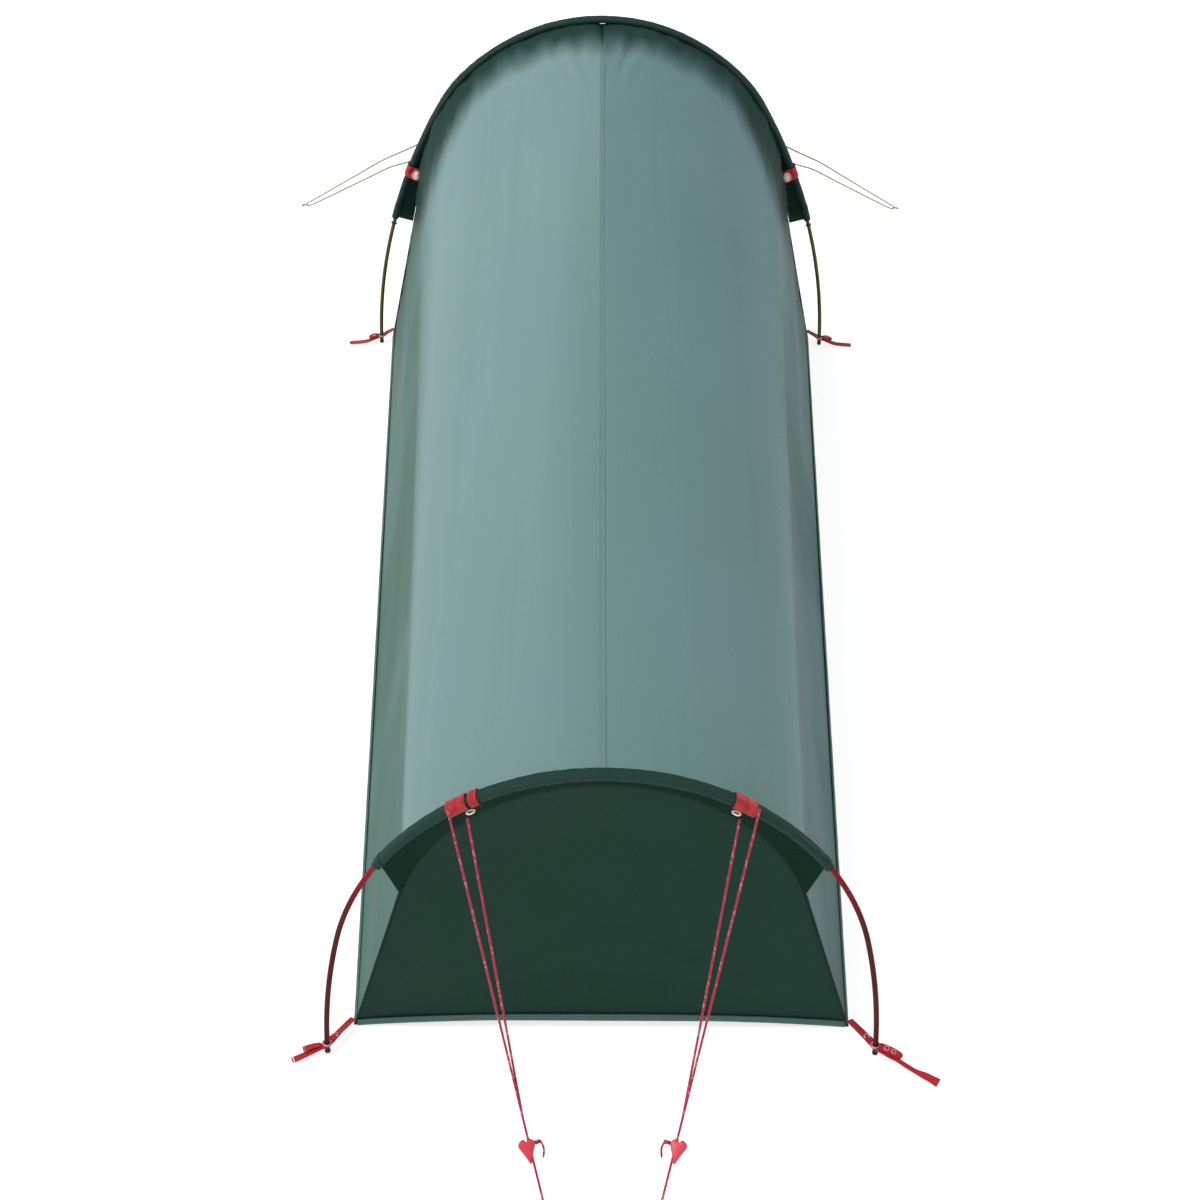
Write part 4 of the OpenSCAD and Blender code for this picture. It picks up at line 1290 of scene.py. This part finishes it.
# ---- End walls ---------------------------------------------------------------
def wall_grid(name, inner, outer, rows_count, relief, material):
    """A wall between two paths of the same number of points."""
    rows, uvs = [], []
    for i in range(rows_count + 1):
        f = i / rows_count
        row = []
        for a, b in zip(inner, outer):
            p = a.lerp(b, f)
            row.append(p + Vector((0, relief(p, f), 0)))
        rows.append(row)
        uvs.append([(p.x, p.z) for p in row])
    made = grid(name, rows, {"cloth": uvs}, merge=0.0004)
    return skin(made, material)


def foot_wall():
    """End wall at the feet: hollowed a little, pulled into faint folds from its lower corners."""
    steps = 150
    arch = []
    for i in range(steps + 1):
        w = i / steps
        k = 4 * w if w < 0.5 else 4 - 4 * w
        p = FOOT_CLOTH.point(k, -0.0012)
        arch.append(Vector((p.x if w < 0.5 else -p.x, p.y, p.z)))
    half = FOOT_CLOTH.half - 0.0012
    bow = lambda x: 0.015 * max(0.0, 1 - abs(x / half) ** 2.6)
    base = []
    for i in range(steps + 1):
        x = half * (1 - 2 * i / steps)
        z = bow(x) + 0.0005
        base.append(Vector((x, FOOT_CLOTH.at - FOOT_CLOTH.lean * z, z)))

    def relief(p, f):
        inside = min(1.0, 6 * f * (1 - f)) * max(0.0, 1 - abs(p.x) / 0.40)
        fold = 0.0
        for corner in (-1, 1):
            dx, dz = p.x - corner * half, p.z
            angle, far = math.atan2(dz, -corner * dx), math.hypot(dx, dz)
            fold += 0.0022 * wave(angle * 6.5, far * 1.5, seed=corner + 4) * bell(far, 0.28, 0.26)
        return inside * (0.010 + fold + 0.0012 * wave(p.x * 9, p.z * 5, seed=6))
    wall = wall_grid("foot_wall", base, arch, 60, relief, "wall")
    thicken(wall, CLOTH_T, 0.0)
    piece(wall, "end_wall_cloth", "tent", ["foot_wall"])
    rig.sheet(wall, flat=(2 * FOOT_CLOTH.half, FOOT_CLOTH.top), held="stretched", area=area_of(wall),
             rests_on=["roof_left", "roof_right"])

    section = ((0.0002, -0.0012), (0.001, -0.0026), (0.008, -0.0030), (0.0135, -0.0026),
               (0.0142, -0.0010), (0.008, -0.0006))
    rows = []
    for i in range(101):
        x = (half - 0.003) * (1 - 2 * i / 100)
        front, foot = FOOT_CLOTH.at + 0.0003 * wave(x * 40, seed=2), bow(x)
        rows.append([Vector((x, front - FOOT_CLOTH.lean * (foot + z) + y, foot + z)) for z, y in section])
    hem = skin(grid("hem", rows, closed=True, caps=True), "wall_hem")
    line = [r[3] + Vector((0, -0.0004, -0.0015)) for r in rows]
    thread = skin(stitches("stitch", line, (0, -1, 0), 0.0045), "thread_light")
    piece(join("foot_hem", [hem, thread]), "hem_cloth", "tent", ["foot_hem"])


def end_binding(profile, towards, name):
    """Bound seam where the end wall meets the fly."""
    paths = []
    for side in (1, -1):
        pts = []
        for i in range(81):
            p = profile.point(2 * i / 80, 0.0002)
            pts.append(Vector((side * p.x, p.y + towards * 0.0012, max(0.0022, p.z))))
        paths.append(skin(tube("binding", pts, 0.0017, 8), "piping"))
    made = join(name, paths)
    piece(made, "end_wall_cloth", "tent")


def head_point(x, z, y=0.0):
    return Vector((x, HEAD_CLOTH.at - HEAD_CLOTH.lean * z + y, z))


def head_walls():
    for side, label in SIDES:
        outer, inner = [], []
        for i in range(40):
            t = i / 40
            outer.append(head_point(side * (0.0006 + t * (HEAD_CLOTH.half - 0.002)), 0.0008))
            inner.append(head_point(side * (0.0006 + t * DOOR_HALF), DOOR_SILL))
        for i in range(101):
            t = i / 100
            p = HEAD_CLOTH.point(2 * t, -0.0015)
            outer.append(head_point(side * max(0.0006, p.x), max(0.0008, p.z)))
            hem_x, hem_z = DOOR_HALF * (1 - t), DOOR_SILL + (DOOR_TOP - DOOR_SILL) * t
            inner.append(head_point(side * max(0.0006, hem_x), hem_z))
        relief = lambda p, f: -0.004 * math.sin(math.pi * f) * (1 + 0.5 * wave(p.x * 12, p.z * 8, seed=side))
        wall = wall_grid(f"head_wall_{label}", inner, outer, 22, relief, "wall")
        thicken(wall, CLOTH_T, 0.0)
        piece(wall, "end_wall_cloth", "tent", [f"head_wall_{label}"])
        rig.sheet(wall, flat=(HEAD_CLOTH.half, HEAD_CLOTH.top), held="stretched", area=area_of(wall),
                 rests_on=[f"roof_{label}"])


def door(side, label):
    """Door flap: a triangle between the zip and its slanted sewn edge, slack in the middle."""
    rows, uvs = [], []
    for i in range(61):
        t = i / 60
        z = DOOR_SILL + 0.001 + (DOOR_TOP - 0.003 - DOOR_SILL) * t
        reach = 0.0012 + (DOOR_HALF - 0.003) * (1 - t)
        row = []
        for j in range(31):
            f = j / 30
            x = 0.0012 + (reach - 0.0012) * f
            slack = math.sin(math.pi * f) * math.sin(math.pi * min(1, t * 1.02)) ** 0.8
            y = 0.007 * slack + 0.0022 * slack * wave(x * 16, z * 5, seed=side + 2) + 0.0004
            row.append(head_point(side * x, z, y))
        rows.append(row)
        uvs.append([(p.x, p.z) for p in row])
    made = skin(grid(f"door_{label}", rows, {"cloth": uvs}, merge=0.0003), "door")
    thicken(made, CLOTH_T, 0.0)
    piece(made, "door_cloth", f"door_{label}", [f"door_{label}"])
    width, tall = DOOR_HALF, DOOR_TOP - DOOR_SILL
    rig.sheet(made, flat=(width, tall), held="hung", area=0.51 * width * tall, rests_on=[f"head_wall_{label}"])


def zip_tape(side, label):
    """A flap's half of the zip: tape, teeth and a row of stitching."""
    z0, long = DOOR_SILL + 0.002, 0.595
    band = [(head_point(side * 0.0075, z0 + long * t, 0.0019), (0, 1, 0), 1.0) for t in (0, 0.33, 0.66, 1)]
    tape = skin(ribbon("tape", band, 0.012, 0.0009), "zip_tape")
    tooth = ((0.0, -0.0007, 0.0), (0.0032, -0.0005, 0.0), (0.0032, 0.0005, 0.0), (0.0, 0.0007, 0.0),
             (0.0, -0.0006, 0.0016), (0.0030, -0.0004, 0.0010), (0.0030, 0.0004, 0.0010),
             (0.0, 0.0006, 0.0016))
    teeth_v, teeth_f = [], []
    pitch, count = 0.0030, int(long / 0.0030) - 2
    for n in range(count):
        z = z0 + pitch * (n + 1) + (pitch / 2 if side > 0 else 0)
        teeth_v += [head_point(side * (0.0006 + dx), z + dz, 0.0017 + dy) for dx, dz, dy in tooth]
        b = 8 * n
        teeth_f += [(b, b + 3, b + 2, b + 1), (b + 4, b + 5, b + 6, b + 7), (b, b + 1, b + 5, b + 4),
                    (b + 1, b + 2, b + 6, b + 5), (b + 2, b + 3, b + 7, b + 6), (b + 3, b, b + 4, b + 7)]
    teeth = new_object("teeth", teeth_v, teeth_f, smooth=False)
    tidy_normals(teeth)
    skin(teeth, "zip_teeth")
    line = [head_point(side * 0.0115, z0 + long * t, 0.0026) for t in (0.01, 0.99)]
    thread = skin(stitches("stitch", line, (0, 1, 0), 0.0045), "thread_dark")
    name = f"zip_tape_{label}"
    piece(join(name, [tape, teeth, thread]), "zip_tape", f"door_{label}", [name])


def zip_slider():
    z = SLIDER_Z
    outline = [(-0.0050, 0.0062), (-0.0034, 0.0070), (0.0, 0.0066), (0.0034, 0.0070), (0.0050, 0.0062),
               (0.0044, 0.0), (0.0036, -0.0058), (0.0022, -0.0070), (-0.0022, -0.0070),
               (-0.0036, -0.0058), (-0.0044, 0.0)]
    rings = [[head_point(a * s, z + b * s, depth) for a, b in outline]
             for depth, s in ((0.0018, 0.94), (0.0022, 1.0), (0.0050, 1.0), (0.0057, 0.93))]
    body = skin(grid("body", rings, closed=True, caps=True), "zip_metal")
    arch = [head_point(0, z + dz, y) for dz, y in (
        (-0.0045, 0.0054), (-0.0040, 0.0092), (0.0, 0.0106), (0.0040, 0.0092), (0.0045, 0.0054))]
    bridge = skin(tube("bridge", smooth_path(arch, 0.001), 0.0011, 10), "zip_metal")
    piece(join("zip_slider", [body, bridge]), "zip_metal", "zip_slider", ["zip_slider"])


def zip_pull():
    """Metal link with a red webbing puller folded through it."""
    z, y = SLIDER_Z, 0.0078
    link = [head_point(x, z + b, y) for x, b in (
        (-0.0028, 0.0), (-0.0030, -0.007), (0.0, -0.0088), (0.0030, -0.007), (0.0028, 0.0),
        (0.0, 0.0012), (-0.0028, 0.0))]
    wire = skin(tube("wire", smooth_path(link, 0.001), 0.0009, 10), "zip_metal")
    web = [(head_point(0, z - 0.0072, y - 0.0004), (0, 1, 0), 0.55),
           (head_point(0, z - 0.014, y), (0, 1, 0), 0.6), (head_point(0, z - 0.030, y), (0, 1, 0), 0.6)]
    puller = skin(ribbon("puller", web, 0.0125, 0.0022), "webbing")
    piece(join("zip_pull", [wire, puller]), "red_webbing", "zip_pull", ["zip_pull"])


foot_wall()
end_binding(FOOT_CLOTH, -1, "foot_binding")
head_walls()
end_binding(HEAD_CLOTH, 1, "head_binding")
for side, label in SIDES:
    door(side, label)
    zip_tape(side, label)
zip_slider()
zip_pull()


# ---- Groundsheet -------------------------------------------------------------
def groundsheet():
    """Tray floor whose edges turn up into a low wall, a little crinkled."""
    low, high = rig.box("groundsheet")
    foot_half, head_half = FOOT_CLOTH.half - 0.024, HEAD_CLOTH.half - 0.024
    wall_h, nx, ny = 0.040, 40, 100
    rows = []
    for j in range(-2, ny + 3):
        v = min(1, max(0, j / ny))
        y = low.y + (high.y - low.y) * v
        half = foot_half + (head_half - foot_half) * v
        up_end = wall_h * {-2: 1.0, -1: 0.45, ny + 1: 0.45, ny + 2: 1.0}.get(j, 0.0)
        row = []
        for i in range(-2, nx + 3):
            u = min(1, max(0, i / nx))
            up_side = wall_h * {-2: 1.0, -1: 0.45, nx + 1: 0.45, nx + 2: 1.0}.get(i, 0.0)
            up = max(up_end, up_side)
            x = half * (2 * u - 1)
            crinkle = 0.0014 * (0.5 + 0.5 * wave(x * 11, y * 11, seed=3)) if up == 0 else 0.0
            lean = 0.0012 * wave(x * 9, y * 9, seed=5) if up else 0.0
            side_lean, end_lean = lean * (i < 0 or i > nx), lean * (j < 0 or j > ny)
            row.append(Vector((x + side_lean, y + end_lean, 0.0008 + up + crinkle)))
        rows.append(row)
    tray = grid("groundsheet", rows, merge=0.0002)
    skin(tray, "ground")
    thicken(tray, CLOTH_T, 1.0)
    piece(tray, "groundsheet_cloth", "tent", ["groundsheet"])
    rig.sheet(tray, flat=(2 * head_half + 2 * wall_h, high.y - low.y + 2 * wall_h), held="laid",
             area=(foot_half + head_half + 2 * wall_h) * (high.y - low.y + 2 * wall_h))


groundsheet()


# ---- Corner straps and pole feet ---------------------------------------------
def eyelet(name, centre, axis, inner, outer, thick):
    profile = [(inner, -thick / 2), (outer, -thick / 2), (outer + 0.0002, -thick * 0.35),
               (outer - 0.0006, -thick * 0.2),
               (outer - 0.0006, thick * 0.2), (outer + 0.0002, thick * 0.35), (outer, thick / 2),
               (outer - 0.0008, thick * 0.62), (inner + 0.0006, thick * 0.62), (inner, thick * 0.45)]
    spin = upright_to(axis)
    rows = [[Vector(centre) + spin @ Vector((r * math.cos(a), r * math.sin(a), h))
             for a in circle(28)] for r, h in profile + profile[:1]]
    made = grid(name, rows, closed=True)
    tidy_normals(made, 1e-6)
    return skin(made, "eyelet")


def pierced(name, stations, width, thickness, at):
    """A strap with a round upright hole through it for the pole's tip."""
    strap = ribbon(name, stations, width, thickness)
    cutter = turned("cutter", [(TIP_HOLE_R, -0.012), (TIP_HOLE_R, 0.012)], at, UP, 24)
    mod = strap.modifiers.new("hole", "BOOLEAN")
    mod.operation = "DIFFERENCE"
    mod.solver = "EXACT"
    mod.object = cutter
    dg = bpy.context.evaluated_depsgraph_get()
    mesh = bpy.data.meshes.new_from_object(strap.evaluated_get(dg))
    strap.modifiers.clear()
    old = strap.data
    strap.data = mesh
    bpy.data.meshes.remove(old)
    bpy.data.objects.remove(cutter)
    return strap


def foot_strap_left(corner, at):
    """Stations of the strap and of its folded end, then its cut ends and its spare eyelets."""
    main = [(corner, (-0.2, 0.1, 1), 0.8), (corner.lerp(at, 0.5), (-0.4, -0.2, 0.9), 0.85),
            (at, (0.05, -0.1, 1), 0.95), ((-0.4405, -1.1570, 0.0150), (-0.1, -0.2, 1), 0.75),
            ((-0.457, -1.1635, 0.0095), (-0.1, -0.2, 0.9), 0.66),
            ((-0.478, -1.1725, 0.0050), (-0.1, -0.4, 0.9), 0.66)]
    fold = [((-0.4375, -1.1530, 0.0190), (0, 0.1, 1), 0.6),
            ((-0.450, -1.1568, 0.0190), (-0.1, -0.1, 1), 0.62),
            ((-0.4625, -1.1600, 0.0160), (-0.2, -0.3, 0.9), 0.62)]
    low_end, high_end = ((-0.1, -0.3, 0.9), 0.62), ((-0.2, -0.3, 0.9), 0.64)
    ends = [[((-0.4790, -1.1729, 0.0049), *low_end), ((-0.4815, -1.1739, 0.0045), *low_end)],
            [((-0.4628, -1.1601, 0.0160), *high_end), ((-0.4650, -1.1607, 0.0155), *high_end)]]
    eyes = [(corner.lerp(at, 0.66), (-0.4, -0.2, 0.9), 0.0026, 0.0044, 0.0030)]
    return main, fold, ends, eyes


def foot_strap_right(corner, at):
    """The same for the right strap, which lies out flat past its fold."""
    main = [(corner, (0.2, 0.0, 1), 0.85), (corner.lerp(at, 0.5), (0.2, -0.2, 1), 0.85),
            (at, (0.0, -0.15, 1), 0.95), ((0.447, -1.165, 0.0150), (0.1, -0.3, 1), 0.85),
            ((0.463, -1.1775, 0.0115), (0.3, 0.0, 0.9), 0.66),
            ((0.484, -1.193, 0.0075), (0.2, -0.3, 0.9), 0.55),
            ((0.504, -1.207, 0.0072), (0, -0.5, 0.85), 0.78),
            ((0.5195, -1.2185, 0.0060), (0, -0.6, 0.8), 0.92)]
    fold = [((0.4335, -1.1525, 0.0206), (0.1, -0.2, 1), 0.8),
            ((0.448, -1.161, 0.0200), (0.1, -0.4, 1), 0.85),
            ((0.462, -1.1695, 0.0175), (0.3, -0.5, 0.9), 0.8),
            ((0.4665, -1.1725, 0.0140), (0.8, -0.6, 0.3), 0.7)]
    eyes = [(corner.lerp(at, 0.66), (0.1, -0.3, 1), 0.0028, 0.0050, 0.0032),
            ((0.4445, -1.1590, 0.0207), (0.1, -0.4, 1), 0.0028, 0.0048, 0.0026),
            ((0.4545, -1.1650, 0.0196), (0.15, -0.45, 1), 0.0024, 0.0042, 0.0026)]
    return main, fold, [], eyes


def foot_strap(side, label):
    """Strap from the foot corner over the pole's tip; gives back its spare eyelets."""
    at = Vector((side * FOOT.half, FOOT.y, STRAP_Z))
    corner = Vector((side * (FOOT_CLOTH.half + 0.002), FOOT.y + 0.058, STRAP_Z - 0.002))
    main, fold, ends, eyes = (foot_strap_left if side < 0 else foot_strap_right)(corner, at)
    parts = [skin(pierced("strap", main, STRAP_W, 0.0015, at), "webbing"),
             skin(ribbon("fold", fold, STRAP_W, 0.0014), "webbing")]
    tilt = (side * 0.25, -0.45, 1)
    for x in (-0.005, 0.005):
        aside = Vector((side * x * 0.8, x * 0.5 * side, 0))
        line = [corner + aside + 0.0012 * UP, corner.lerp(at, 0.25) + aside + 0.0014 * UP]
        parts.append(skin(stitches("stitch", line, tilt, 0.003, 0.0022), "thread_red"))
    parts += [skin(ribbon("end", end, STRAP_W, 0.0017), "strap_end") for end in ends]
    piece(join(f"strap_foot_{label}", parts), "red_webbing", "tent", [f"strap_foot_{label}"])
    return [eyelet("eye", *eye) for eye in eyes]


def head_strap(side, label):
    """Strap from the head corner over the pole's tip; gives back its spare eyelet."""
    at = Vector((side * HEAD.half, HEAD.y, STRAP_Z))
    corner = Vector((side * (HEAD_CLOTH.half - 0.002), HEAD.y + 0.034, STRAP_Z))
    main = [(corner, (side * 0.1, -0.1, 1), 0.7), (corner.lerp(at, 0.5), (0, -0.2, 0.9), 0.7),
            (at, (0, -0.1, 1), 0.95), ((side * 0.524, 1.1460, 0.0130), (side * 0.2, -0.2, 1), 0.8),
            ((side * 0.545, 1.1420, 0.0065), (0, -0.3, 0.9), 0.7),
            ((side * 0.5810, 1.1360, 0.0058), (0, -0.5, 0.9), 0.62)]
    fold = [((side * 0.5135, 1.1490, 0.0200), (0, -0.1, 1), 0.7),
            ((side * 0.5250, 1.1470, 0.0205), (side * 0.2, -0.3, 1), 0.8),
            ((side * 0.5365, 1.1450, 0.0150), (side * 0.7, -0.4, 0.6), 0.7)]
    parts = [skin(pierced("strap", main, STRAP_W, 0.0015, at), "head_webbing"),
             skin(ribbon("fold", fold, STRAP_W, 0.0014), "webbing")]
    piece(join(f"strap_head_{label}", parts), "red_webbing", "tent", [f"strap_head_{label}"])
    return [eyelet("eye", (side * 0.524, 1.1472, 0.0208), (side * 0.2, -0.3, 1), 0.0024, 0.0042, 0.0026)]


def corner_straps():
    eyes = []
    for side, label in SIDES:
        eyes += foot_strap(side, label) + head_strap(side, label)
    for hoop in (FOOT, HEAD):
        for side in (-1, 1):
            at = (side * hoop.half, hoop.y, STRAP_Z + 0.0004)
            eyes.append(eyelet("eye", at, UP, 0.0050, 0.0080, 0.0034))
    piece(join("strap_eyelets", eyes), "eyelet_metal", "tent", ["strap_eyelets"])


def pole_tips():
    """Moulded foot of each pole: a ribbed collar, a waist and a rounded bottom."""
    profile = [(0.0022, 0.0001), (0.0040, 0.0006), (0.0048, 0.0018), (0.0048, 0.0040), (0.0044, 0.0056),
               (0.0041, 0.0090)]
    for n in range(3):
        z = 0.0100 + 0.0022 * n
        profile += [(0.0041, z), (0.0046, z + 0.0004), (0.0046, z + 0.0012), (0.0041, z + 0.0016)]
    profile += [(0.0047, 0.0168), (0.0047, 0.0178), (0.0033, 0.0180), (0.0028, 0.0185),
                (0.0028, 0.0330), (0.0020, 0.0338)]
    parts = [skin(turned("tip", profile, (side * hoop.half, hoop.y, 0.0), UP, 28), "tip")
             for hoop in (FOOT, HEAD) for side in (-1, 1)]
    piece(join("pole_tips", parts), "black_plastic", "tent", ["pole_tips"])


def sleeve_loops():
    """Elastic loops that draw the sleeve ends in round the pole."""
    parts = []
    for hoop, start in ((FOOT, FOOT_SLEEVE_PHI), (HEAD, HEAD_SLEEVE_PHI)):
        for phi in (start - 0.8, 180 - start + 0.8):
            at = hoop.point(phi)
            ahead = (hoop.point(phi + 0.5) - hoop.point(phi - 0.5)).normalized()
            made = torus("loop", at, ahead, 0.0058, 0.0021, 32, 10, 0.15)
            add_uv(made, "run", [(v.co.z, 0.3) for v in made.data.vertices])
            parts.append(skin(made, "elastic"))
    end, out = FOOT.point(FOOT_SLEEVE_PHI), FOOT.outward(FOOT_SLEEVE_PHI)
    tail = [end + out * 0.005, end + out * 0.009 + Vector((-0.004, -0.004, 0.003)),
            end + out * 0.013 + Vector((-0.010, -0.006, 0.009))]
    parts.append(skin(tube("tail", smooth_path(tail, 0.002), 0.0014, 8, 2), "elastic"))
    piece(join("sleeve_end_loops", parts), "elastic", "tent", ["sleeve_end_loops"])


corner_straps()
pole_tips()
sleeve_loops()
for n in range(1, 6):
    refinish(f"foot_pole_{n}", "foot_pole")
for n in range(1, 7):
    refinish(f"head_pole_{n}", "head_pole")
for end in ("foot", "head"):
    refinish(f"{end}_pole_ferrules", "ferrule")
    refinish(f"{end}_shock_cord", "shock_cord")


# ---- Stage and light ---------------------------------------------------------
FLOOR_GLOW, SKY_LOW, SKY_TOP, KEY = 0.74, 0.22, 0.66, 1.55
SUN_AT = (-2.6, -0.6, 5.0)


def add_stage():
    """White sweep that glows enough to hide all but the closest shadows."""
    size = 40
    corners = [(size * x, size * y, -0.0006) for x, y in ((-1, -1), (1, -1), (1, 1), (-1, 1))]
    floor = new_object("floor", corners, [(0, 1, 2, 3)])
    look = Look("pale floor", 0.9, specular=0.0)
    soft = look.noise(look.place(), 0.8, 2.0)
    look.set("Emission Color", (1.0, 1.0, 1.0, 1.0))
    look.set("Emission Strength", FLOOR_GLOW)
    floor.data.materials.append(look.done(look.shade(srgb(200, 200, 200), soft, 0.99, 1.01)))
    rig.stage(floor)


def add_sun():
    """One broad key light from the upper left."""
    data = bpy.data.lights.new("key", "SUN")
    data.energy = KEY
    data.color = (1.0, 0.995, 0.985)
    data.angle = math.radians(24)
    lamp = bpy.data.objects.new("key", data)
    lamp.location = SUN_AT
    lamp.rotation_euler = (Vector((0, 0, 0.3)) - lamp.location).to_track_quat("-Z", "Y").to_euler()
    bpy.context.scene.collection.objects.link(lamp)


def add_world():
    world = bpy.data.worlds.new("studio")
    world.use_nodes = True
    tree = world.node_tree
    background = tree.nodes["Background"]
    background.inputs["Color"].default_value = (1.0, 1.0, 1.0, 1.0)
    place = tree.nodes.new("ShaderNodeTexCoord")
    split = tree.nodes.new("ShaderNodeSeparateXYZ")
    height = tree.nodes.new("ShaderNodeMapRange")
    tree.links.new(place.outputs["Generated"], split.inputs[0])
    tree.links.new(split.outputs[2], height.inputs["Value"])
    height.inputs["From Min"].default_value = 0.0
    height.inputs["From Max"].default_value = 0.9
    height.inputs["To Min"].default_value = SKY_LOW
    height.inputs["To Max"].default_value = SKY_TOP
    tree.links.new(height.outputs["Result"], background.inputs["Strength"])
    bpy.context.scene.world = world


add_stage()
add_world()
add_sun()
bpy.context.scene.view_settings.view_transform = "Standard"

low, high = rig.bounds()
json.dump({"cad": [list(CAD_BOX[0]), list(CAD_BOX[1])], "visual": [list(low), list(high)]},
          open("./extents.json", "w"))
